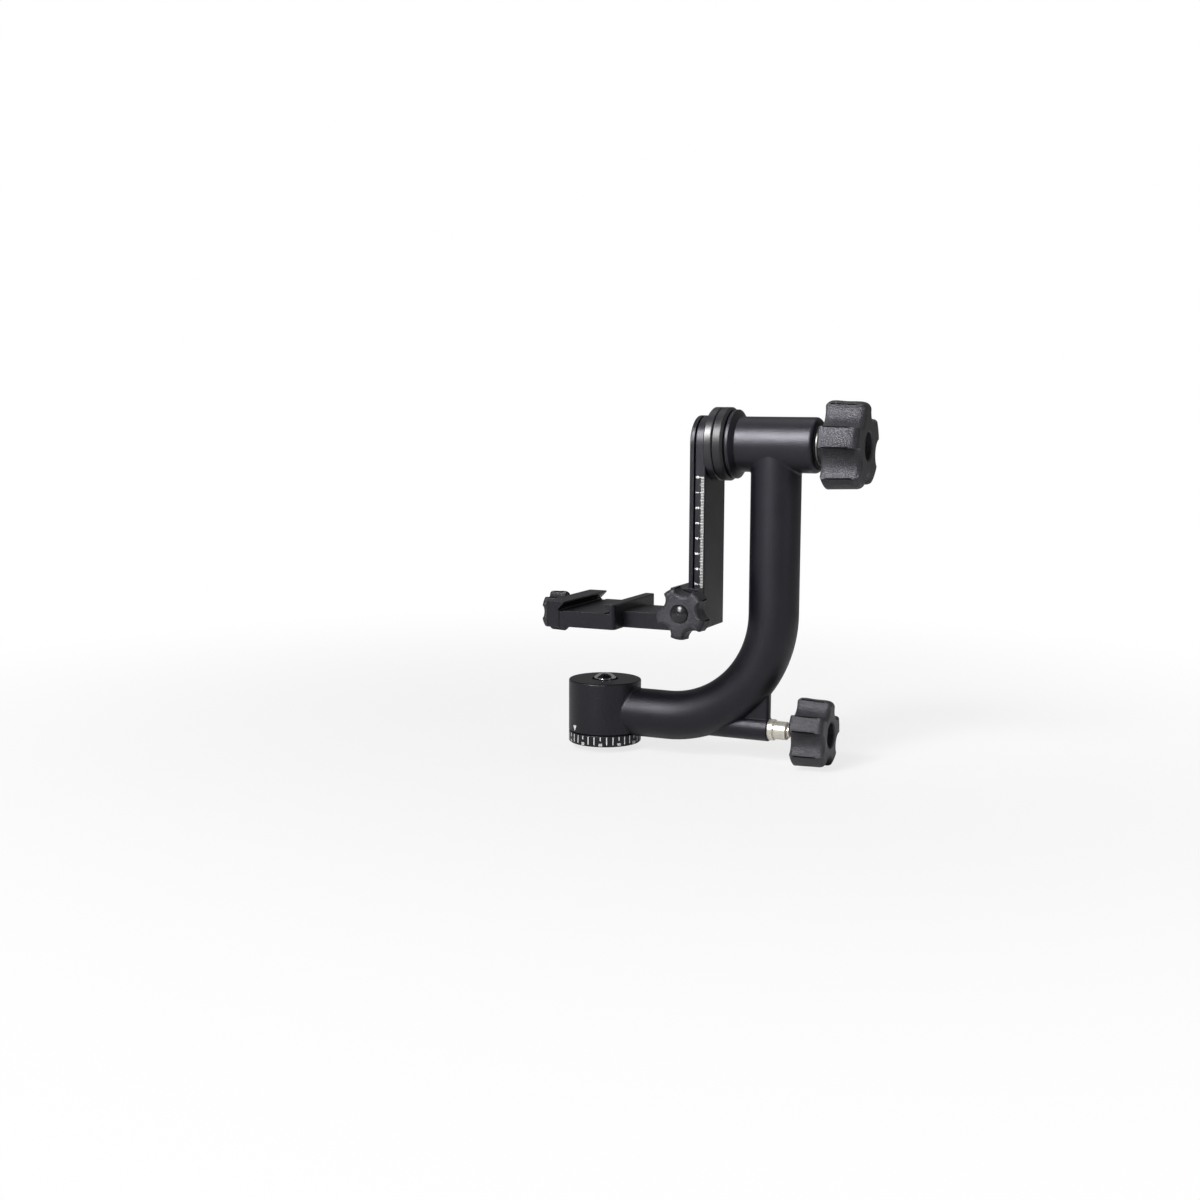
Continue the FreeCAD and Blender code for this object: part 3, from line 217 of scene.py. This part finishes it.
def remap(tree, source, low, high, in_low=0.0, in_high=1.0):
    node = tree.nodes.new("ShaderNodeMapRange")
    node.inputs["From Min"].default_value = in_low
    node.inputs["From Max"].default_value = in_high
    node.inputs["To Min"].default_value = low
    node.inputs["To Max"].default_value = high
    tree.links.new(source, node.inputs["Value"])
    return node.outputs[0]


def blend_colour(tree, mask, first, second):
    node = tree.nodes.new("ShaderNodeMix")
    node.data_type = "RGBA"
    tree.links.new(mask, node.inputs[0])
    for socket, colour in ((node.inputs[6], first), (node.inputs[7], second)):
        if isinstance(colour, tuple):
            socket.default_value = (*colour, 1.0)
        else:
            tree.links.new(colour, socket)
    return node.outputs[2]


def bump(tree, height, distance, strength, normal=None):
    node = tree.nodes.new("ShaderNodeBump")
    node.inputs["Distance"].default_value = distance
    node.inputs["Strength"].default_value = strength
    tree.links.new(height, node.inputs["Height"])
    if normal is not None:
        tree.links.new(normal, node.inputs["Normal"])
    return node.outputs[0]


SHEEN_TINT = (0.93, 0.91, 1.0, 1.0)
# The edge colour on sharp edges is painted light: a painted highlight on satin black, partly
# wear, and painted shade on the knobs.
EDGE_TONE_SHARE = 0.6             # share of the edge's colour on the sharpest edges
ROUGHNESS_SWING = 0.05      # how far the grain moves the roughness either way
LATHE_SWING = 0.06          # the same for lathe marks


def coated_metal(name, dark, light, edge, rough, grain, height, level):
    material, tree, shader, vector = start_material(name)
    coat = place_group(tree, FINE_GRAIN, vector, Grains_per_metre=grain)
    sharp_edges = place_group(tree, SHARP_EDGE, vector)
    speckle = remap(tree, coat.outputs["Value"], 0, 1, in_low=0.35, in_high=0.65)
    base = blend_colour(tree, speckle, dark, light)
    # Painted edge tone: the sharp-edge mask blends in the edge colour, a painted highlight or
    # painted shade depending on the finish.
    painted_edge_tone = remap(tree, sharp_edges.outputs["Mask"], 0, EDGE_TONE_SHARE)
    colour = blend_colour(tree, painted_edge_tone, base, edge)
    roughness = remap(tree, coat.outputs["Value"], rough - ROUGHNESS_SWING,
                      rough + ROUGHNESS_SWING, in_low=0.3, in_high=0.7)
    normal = bump(tree, coat.outputs["Height"], height, strength=0.5,
                  normal=sharp_edges.outputs["Normal"])
    tree.links.new(colour, shader.inputs["Base Color"])
    tree.links.new(roughness, shader.inputs["Roughness"])
    tree.links.new(normal, shader.inputs["Normal"])
    shader.inputs["Specular IOR Level"].default_value = level
    shader.inputs["Specular Tint"].default_value = SHEEN_TINT
    return material


def turned_metal(name, colour, shade, rough, axis_z, metallic=1.0, lines=2500.0,
                 height=0.01 * MM, level=0.5):
    """Metal off a lathe whose axis runs along X at the height axis_z."""
    material, tree, shader, vector = start_material(name)
    mapping = tree.nodes.new("ShaderNodeMapping")
    mapping.inputs["Location"].default_value = (0.0, 0.0, -axis_z)
    tree.links.new(vector, mapping.inputs["Vector"])
    marks = place_group(tree, TURNED_LINES, mapping.outputs[0], Lines_per_metre=lines)
    sharp_edges = place_group(tree, SHARP_EDGE, vector, Width=0.3 * MM)
    both = tree.nodes.new("ShaderNodeMath")
    both.operation = "MULTIPLY"
    tree.links.new(marks.outputs["Face"], both.inputs[0])
    tree.links.new(marks.outputs["Side"], both.inputs[1])
    mask = remap(tree, both.outputs[0], 0, 1, in_low=0.12, in_high=0.42)
    roughness = remap(tree, mask, rough + LATHE_SWING, rough - LATHE_SWING)
    normal = bump(tree, both.outputs[0], height, strength=0.6,
                  normal=sharp_edges.outputs["Normal"])
    tree.links.new(blend_colour(tree, mask, shade, colour), shader.inputs["Base Color"])
    tree.links.new(roughness, shader.inputs["Roughness"])
    tree.links.new(normal, shader.inputs["Normal"])
    shader.inputs["Metallic"].default_value = metallic
    shader.inputs["Specular IOR Level"].default_value = level
    return material


def plain_finish(name, first, second, rough, grain=900.0, height=0.02 * MM, level=0.5):
    material, tree, shader, vector = start_material(name)
    coat = place_group(tree, FINE_GRAIN, vector, Grains_per_metre=grain)
    mask = remap(tree, coat.outputs["Value"], 0, 1, in_low=0.35, in_high=0.65)
    roughness = remap(tree, mask, rough - ROUGHNESS_SWING, rough + ROUGHNESS_SWING)
    normal = bump(tree, coat.outputs["Height"], height, strength=0.4)
    tree.links.new(blend_colour(tree, mask, first, second), shader.inputs["Base Color"])
    tree.links.new(roughness, shader.inputs["Roughness"])
    tree.links.new(normal, shader.inputs["Normal"])
    shader.inputs["Specular IOR Level"].default_value = level
    return material


# Its edge colour (0.065, 0.062, 0.072) is a painted highlight along sharp edges and rims,
# partly wear.
satin_black = coated_metal(
    "satin black anodising", (0.0022, 0.0020, 0.0040), (0.0052, 0.0049, 0.0080),
    (0.065, 0.062, 0.072), 0.38, grain=1500.0, height=0.3 * MM, level=0.5)
gloss_black = turned_metal(
    "turned gloss black", (0.014, 0.014, 0.017), (0.007, 0.007, 0.009), 0.31, TILT_Z,
    metallic=0.0, lines=1800.0, height=0.02 * MM, level=0.65)
disc_black = turned_metal(
    "turned satin black", (0.012, 0.012, 0.015), (0.006, 0.006, 0.008), 0.38, TILT_Z,
    metallic=0.0, lines=1800.0, height=0.02 * MM)
# Its edge colour, darker than the knob's grain, is painted shade along sharp edges and in the
# grooves.
knob_black = coated_metal(
    "moulded knob black", (0.005, 0.005, 0.007), (0.034, 0.033, 0.036),
    (0.004, 0.004, 0.004), 0.40, grain=1250.0, height=1.0 * MM, level=0.6)
warm_nickel = turned_metal(
    "warm nickel", (0.86, 0.82, 0.74), (0.66, 0.62, 0.54), 0.30, LOCK_Z, metallic=0.75)
polished_steel = turned_metal(
    "polished steel", (0.92, 0.92, 0.94), (0.84, 0.84, 0.86), 0.08, 0.0,
    lines=600.0, height=0.001 * MM)
turned_steel = turned_metal(
    "turned steel", (0.56, 0.56, 0.57), (0.42, 0.42, 0.43), 0.32, TILT_Z)
washer_steel = turned_metal(
    "washer steel", (0.40, 0.39, 0.36), (0.28, 0.27, 0.25), 0.34, TILT_Z)
yellow_brass = turned_metal(
    "yellow brass", (0.72, 0.55, 0.26), (0.58, 0.43, 0.20), 0.3, LOCK_Z)
bearing_bronze = turned_metal(
    "bearing bronze", (0.58, 0.40, 0.22), (0.46, 0.31, 0.17), 0.38, TILT_Z)
gloss_cap = plain_finish(
    "glossy cap black", (0.010, 0.010, 0.012), (0.014, 0.014, 0.016), 0.20,
    height=0.004 * MM)
liner = plain_finish(
    "bearing liner", (0.74, 0.72, 0.66), (0.68, 0.66, 0.60), 0.55)
# Near-black and almost unreflective: painted shade for the floors of the knobs' grooves.
painted_shade_black = plain_finish(
    "painted groove shade", (0.004, 0.004, 0.0045), (0.006, 0.006, 0.0065), 0.9, level=0.05)
mark_white = plain_finish(
    "filled white marks", (0.78, 0.78, 0.76), (0.66, 0.66, 0.65), 0.6, grain=5000.0)

FINISHES = {
    "black_metal": satin_black,
    "gloss_black_metal": gloss_black,
    "knob_plastic": knob_black,
    "nickel": warm_nickel,
    "polished_steel": polished_steel,
    "steel": turned_steel,
    "brass": yellow_brass,
    "bronze": bearing_bronze,
    "liner_polymer": liner,
}

# Parts whose finish differs from the rest of their slot
OWN_FINISHES = {
    "friction_disc": disc_black,
    "tilt_washer": washer_steel,
    "rail_knob_cap": gloss_cap,
}

for entry in frame["record"]["subparts"]:
    mesh = nodes[entry["node"]].data
    mesh.materials.clear()
    mesh.materials.append(OWN_FINISHES.get(entry["node"], FINISHES[entry["material_slot"]]))


# ------------------------------------------------------------------- pieces

def finish_piece(mesh_edit, name, material, body):
    bmesh.ops.remove_doubles(mesh_edit, verts=mesh_edit.verts, dist=1e-7)
    bmesh.ops.recalc_face_normals(mesh_edit, faces=mesh_edit.faces)
    mesh = bpy.data.meshes.new(name)
    mesh_edit.to_mesh(mesh)
    mesh_edit.free()
    piece = bpy.data.objects.new(name, mesh)
    bpy.context.scene.collection.objects.link(piece)
    mesh.materials.append(material)
    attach(piece, body)


def add_block(mesh_edit, centre, size):
    made = bmesh.ops.create_cube(mesh_edit, size=1.0)
    bmesh.ops.scale(mesh_edit, vec=Vector(size), verts=made["verts"])
    bmesh.ops.translate(mesh_edit, vec=Vector(centre), verts=made["verts"])
    return made["verts"]


FIGURE_HEIGHT_SHARE = 0.72  # of the font's size
FIGURE_BOLDNESS = 0.06      # of the figure's height


def add_figures(mesh_edit, text, height, depth):
    """Puts figures in the XY plane, centred, and returns their vertices."""
    curve = bpy.data.curves.new("figures", "FONT")
    curve.body = text
    curve.size = height / FIGURE_HEIGHT_SHARE
    curve.align_x = "CENTER"
    curve.extrude = depth / 2
    curve.offset = FIGURE_BOLDNESS * height
    holder = bpy.data.objects.new("figures", curve)
    bpy.context.scene.collection.objects.link(holder)
    bpy.context.view_layer.update()
    shown = holder.evaluated_get(bpy.context.evaluated_depsgraph_get())
    mesh = bpy.data.meshes.new_from_object(shown)
    bpy.data.objects.remove(holder)
    before = len(mesh_edit.verts)
    mesh_edit.from_mesh(mesh)
    mesh_edit.verts.ensure_lookup_table()
    bpy.data.meshes.remove(mesh)
    verts = mesh_edit.verts[before:]
    ys = [v.co.y for v in verts]
    bmesh.ops.translate(mesh_edit, vec=Y * (-(min(ys) + max(ys)) / 2), verts=verts)
    return verts


def wrap_on_ring(verts, radius, azimuth):
    """Bends XY work (X across, Y up, Z out) round the pan axis; azimuth runs from -Y to +X."""
    for v in verts:
        turn = azimuth + v.co.x / radius
        out = radius + v.co.z
        v.co = Vector((out * math.sin(turn), -out * math.cos(turn), v.co.y))


MARK = 0.03 * MM            # how far filled marks stand proud
MARK_DEPTH = 2 * MARK       # they reach as far into the surface

RING_MARGIN = 0.7 * MM      # from the ring's top edge down to the ticks
RING_LONG_TICK = 5.4 * MM
RING_SHORT_TICK = 2.4 * MM  # above a figure
RING_TICK_WIDTH = 0.7 * MM
RING_FIGURE = 1.8 * MM
RING_FIGURE_LIFT = 0.2 * MM  # of a figure's middle over the long ticks' foot
RING_ZERO = math.radians(-42.5)
RING_STEP = 10              # degrees
RING_FIGURE_EVERY = 3       # steps


def ring_scale():
    ticks = bmesh.new()
    figures = bmesh.new()
    top = RING_TOP - RING_MARGIN
    for step in range(360 // RING_STEP):
        numbered = step % RING_FIGURE_EVERY == 0
        azimuth = RING_ZERO + math.radians(RING_STEP * step)
        length = RING_SHORT_TICK if numbered else RING_LONG_TICK
        verts = add_block(ticks, (0, top - length / 2, 0),
                          (RING_TICK_WIDTH, length, MARK_DEPTH))
        wrap_on_ring(verts, RING_R, azimuth)
        if numbered:
            verts = add_figures(figures, str(RING_STEP * step), RING_FIGURE, MARK_DEPTH)
            height = top - RING_LONG_TICK + RING_FIGURE_LIFT
            bmesh.ops.translate(figures, vec=Y * height, verts=verts)
            wrap_on_ring(verts, RING_R, azimuth)
    finish_piece(ticks, "ring_ticks", mark_white, "base")
    finish_piece(figures, "ring_figures", mark_white, "base")


INDEX_HALF_WIDTH = 1.9 * MM
INDEX_HEIGHT = 4.0 * MM
INDEX_TOP = 5.4 * MM        # over the ring's top edge
INDEX_AZIMUTH = math.radians(-31)
INDEX_SLICES = 8            # the triangle is cut up so that it follows the round housing


def housing_index():
    mark = bmesh.new()
    xs = [INDEX_HALF_WIDTH * (2 * i / INDEX_SLICES - 1) for i in range(INDEX_SLICES + 1)]
    upper = [mark.verts.new((x, 0, 0)) for x in xs]
    lower = [mark.verts.new((x, -INDEX_HEIGHT * (1 - abs(x) / INDEX_HALF_WIDTH), 0))
             for x in xs[1:-1]]
    lower = [upper[0]] + lower + [upper[-1]]
    faces = []
    for i in range(INDEX_SLICES):
        loop = dict.fromkeys((upper[i], lower[i], lower[i + 1], upper[i + 1]))
        faces.append(mark.faces.new(tuple(loop)))
    made = bmesh.ops.extrude_face_region(mark, geom=faces)
    lifted = [g for g in made["geom"] if isinstance(g, bmesh.types.BMVert)]
    bmesh.ops.translate(mark, vec=Z * MARK, verts=lifted)
    bmesh.ops.translate(mark, vec=Y * (RING_TOP + INDEX_TOP), verts=mark.verts)
    wrap_on_ring(mark.verts, RING_R, INDEX_AZIMUTH)
    finish_piece(mark, "housing_index", mark_white, "arm")


RULER_MARGIN = 0.75 * MM    # from the rail's edge to the ticks
RULER_ZERO_DROP = 21.3 * MM  # of the zero below the tilt axis
RULER_LENGTH = 96           # millimetres
# Every so many millimetres, with length and width; the first that fits is used
RULER_TICKS = (
    (10, 2.8 * MM, 0.42 * MM),
    (5, 2.4 * MM, 0.42 * MM),
    (1, 2.0 * MM, 0.36 * MM),
)
RULER_FIGURE = 2.2 * MM
RULER_FIGURE_INSET = 4.5 * MM  # of a figure's middle from the ticks' outer ends


def rail_scale():
    """Centimetre scale down the rail's front edge, zero at the top."""
    ticks = bmesh.new()
    figures = bmesh.new()
    edge = RAIL_EDGE_X - RULER_MARGIN
    zero = TILT_Z - RULER_ZERO_DROP
    stand = Matrix(((0, -1, 0), (0, 0, -1), (1, 0, 0)))
    for step in range(RULER_LENGTH + 1):
        length, width = next(tick[1:] for tick in RULER_TICKS if step % tick[0] == 0)
        height = zero - step * MM
        add_block(ticks, (edge - length / 2, RAIL_FACE_Y, height),
                  (length, MARK_DEPTH, width))
        if step % 10 == 0:
            verts = add_figures(figures, str(step // 10), RULER_FIGURE, MARK_DEPTH)
            place = Vector((edge - RULER_FIGURE_INSET, RAIL_FACE_Y, height))
            for v in verts:
                v.co = stand @ v.co + place
    finish_piece(ticks, "rail_ticks", mark_white, "swing_arm")
    finish_piece(figures, "rail_figures", mark_white, "swing_arm")


def add_rod(mesh_edit, start, end, radius):
    made = bmesh.ops.create_cone(mesh_edit, cap_ends=True, segments=12, radius1=radius,
                                 radius2=radius, depth=(end - start).length)
    turn = (end - start).to_track_quat("Z", "Y").to_matrix().to_4x4()
    bmesh.ops.transform(mesh_edit, matrix=Matrix.Translation((start + end) / 2) @ turn,
                        verts=made["verts"])


# Shape of the star knobs, the same as that of their solids
LOBES = 5
HALF_CREST = 14.0           # degrees from a crest's middle to its grooves
DRAFT = 0.035               # share of the radius lost over the knob's length
INNER_ROUND = 0.09          # shares of the radius
OUTER_ROUND = 0.17
GROOVE_END = 0.9 * MM       # from the rounds to a groove's ends
GROOVE_LEAN = math.radians(25)
# Near-black rods along the groove floors are painted shade; these give their depth and radius.
GROOVE_SINK = 0.42 * MM     # of a floor's axis below the crest
SHADE_ROD_R = 0.38 * MM


def knob_groove_shade_rods(node, body, axis, side, radius, length, phase):
    """Near-black rods on the groove floor along each edge of a star knob's crests: painted
    shade.

    axis points out of the knob's end, and phase turns the lobes from up towards side.
    """
    radius, length = radius * MM, length * MM
    start = INNER_ROUND * radius + GROOVE_END
    end = length - OUTER_ROUND * radius - GROOVE_END
    centre = middle(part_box(node + "_cap"))
    reach = max((corner - centre).dot(axis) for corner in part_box(node))
    inner_end = centre + axis * (reach - length)
    shade_rod_mesh = bmesh.new()
    for lobe in range(LOBES):
        for sign in (-1, 1):
            turn = math.radians(phase + 360 / LOBES * lobe + sign * HALF_CREST)
            lean = turn + sign * GROOVE_LEAN
            out = Z * math.cos(turn) + side * math.sin(turn)
            sink = (Z * math.cos(lean) + side * math.sin(lean)) * GROOVE_SINK
            ends = [inner_end + axis * h + out * (radius * (1 - DRAFT * h / length)) - sink
                    for h in (start, end)]
            add_rod(shade_rod_mesh, ends[0], ends[1], SHADE_ROD_R)
    finish_piece(shade_rod_mesh, node + "_shade_rods", painted_shade_black, body)


ring_scale()
housing_index()
rail_scale()
# Radius and length in millimetres, phase in degrees
knob_groove_shade_rods("tilt_knob", "tilt_lock_knob", X, -Y, 28.8, 26.2, 5.2)
knob_groove_shade_rods("pan_knob", "pan_lock_knob", X, -Y, 23.0, 22.6, 63.7)
knob_groove_shade_rods("rail_knob", "rail_lock_knob", -Y, X, 17.6, 13.5, 188.0)
knob_groove_shade_rods("clamp_knob", "clamp_knob", -X, Y, 14.0, 12.5, 18.0)


# ------------------------------------------------------------ studio, camera

WHITE = (1.0, 1.0, 1.0, 1.0)
FLOOR_GREY = (0.7, 0.7, 0.7, 1.0)
FLOOR_HALF = 6.0
FLOOR_DROP = 0.5 * MM       # below the head's lowest point
FADE_START, FADE_END = 0.12, 0.75   # distances over which the floor turns white
NEAR_WHITE, FAR_WHITE = 0.76, 1.0   # share of plain white that the camera sees
WORLD_STRENGTH = 0.2


def background_rays(tree):
    """1 for the rays that show the white background: the camera's, also on through glass."""
    path = tree.nodes.new("ShaderNodeLightPath")
    seen = tree.nodes.new("ShaderNodeMath")
    seen.operation = "MAXIMUM"
    tree.links.new(path.outputs["Is Camera Ray"], seen.inputs[0])
    tree.links.new(path.outputs["Is Transmission Ray"], seen.inputs[1])
    return seen.outputs[0]


def floor_material():
    """Pale matte floor that shows whiter to the camera the further it lies from the head."""
    material = bpy.data.materials.new("studio floor")
    material.use_nodes = True
    tree = material.node_tree
    tree.nodes.clear()
    diffuse = tree.nodes.new("ShaderNodeBsdfDiffuse")
    diffuse.inputs["Color"].default_value = FLOOR_GREY
    glow = tree.nodes.new("ShaderNodeEmission")
    glow.inputs["Color"].default_value = WHITE
    coords = tree.nodes.new("ShaderNodeTexCoord")
    reach = tree.nodes.new("ShaderNodeVectorMath")
    reach.operation = "LENGTH"
    fade = tree.nodes.new("ShaderNodeMapRange")
    fade.interpolation_type = "SMOOTHSTEP"
    for label, value in (("From Min", FADE_START), ("From Max", FADE_END),
                         ("To Min", NEAR_WHITE), ("To Max", FAR_WHITE)):
        fade.inputs[label].default_value = value
    share = tree.nodes.new("ShaderNodeMath")
    share.operation = "MULTIPLY"
    mix = tree.nodes.new("ShaderNodeMixShader")
    out = tree.nodes.new("ShaderNodeOutputMaterial")
    tree.links.new(coords.outputs["Object"], reach.inputs[0])
    tree.links.new(reach.outputs["Value"], fade.inputs["Value"])
    tree.links.new(background_rays(tree), share.inputs[0])
    tree.links.new(fade.outputs[0], share.inputs[1])
    tree.links.new(share.outputs[0], mix.inputs[0])
    tree.links.new(diffuse.outputs[0], mix.inputs[1])
    tree.links.new(glow.outputs[0], mix.inputs[2])
    tree.links.new(mix.outputs[0], out.inputs["Surface"])
    return material


def floor():
    sheet = bmesh.new()
    bmesh.ops.create_grid(sheet, x_segments=1, y_segments=1, size=FLOOR_HALF)
    bmesh.ops.translate(sheet, vec=Z * (cad_box[0][2] - FLOOR_DROP), verts=sheet.verts)
    mesh = bpy.data.meshes.new("floor")
    sheet.to_mesh(mesh)
    sheet.free()
    plane = bpy.data.objects.new("floor", mesh)
    bpy.context.scene.collection.objects.link(plane)
    mesh.materials.append(floor_material())


def world():
    """White behind the head for the camera, and a dim white light for everything else."""
    surround = bpy.data.worlds.new("studio")
    bpy.context.scene.world = surround
    surround.use_nodes = True
    tree = surround.node_tree
    tree.nodes.clear()
    dim = tree.nodes.new("ShaderNodeBackground")
    dim.inputs["Strength"].default_value = WORLD_STRENGTH
    bright = tree.nodes.new("ShaderNodeBackground")
    bright.inputs["Strength"].default_value = 1.0
    for node in (dim, bright):
        node.inputs["Color"].default_value = WHITE
    mix = tree.nodes.new("ShaderNodeMixShader")
    out = tree.nodes.new("ShaderNodeOutputWorld")
    tree.links.new(background_rays(tree), mix.inputs[0])
    tree.links.new(dim.outputs[0], mix.inputs[1])
    tree.links.new(bright.outputs[0], mix.inputs[2])
    tree.links.new(mix.outputs[0], out.inputs["Surface"])


def soft_box(name, place, aim, size, power, spread=180.0):
    lamp = bpy.data.lights.new(name, "AREA")
    lamp.shape = "RECTANGLE"
    lamp.size, lamp.size_y = size
    lamp.energy = power
    lamp.spread = math.radians(spread)
    holder = bpy.data.objects.new(name, lamp)
    bpy.context.scene.collection.objects.link(holder)
    holder.location = place
    view = Vector(aim) - Vector(place)
    holder.rotation_euler = view.to_track_quat("-Z", "Y").to_euler()


CAMERA_PLACE = (0.4467, -0.9694, 0.2382)
CAMERA_TURNS = ((24.94, "Z"), (82.52, "X"), (0.2, "Z"))     # degrees: heading, tilt, roll
FOCAL_LENGTH = 46.91
SENSOR_WIDTH = 36.0


def camera():
    lens = bpy.data.cameras.new("camera")
    lens.sensor_width = SENSOR_WIDTH
    lens.lens = FOCAL_LENGTH
    holder = bpy.data.objects.new("camera", lens)
    bpy.context.scene.collection.objects.link(holder)
    holder.location = CAMERA_PLACE
    heading, tilt, roll = (Matrix.Rotation(math.radians(angle), 3, axis)
                           for angle, axis in CAMERA_TURNS)
    holder.rotation_euler = (heading @ tilt @ roll).to_euler()
    bpy.context.scene.camera = holder


floor()
world()
soft_box("key", (-0.25, -1.36, 1.03), (0.06, 0, 0.12), (0.6, 0.9), 26.0)
soft_box("upper", (-0.10, -0.47, 0.60), (0.12, 0, 0.225), (0.2, 0.2), 0.22, spread=35.0)
soft_box("side", (1.5, -0.4, 0.7), (0.08, 0, 0.12), (0.6, 1.2), 2.5)
soft_box("top", (0.1, 0.5, 1.6), (0.06, 0, 0.12), (1.2, 0.8), 3.5)
camera()
bpy.context.scene.view_settings.view_transform = "Standard"
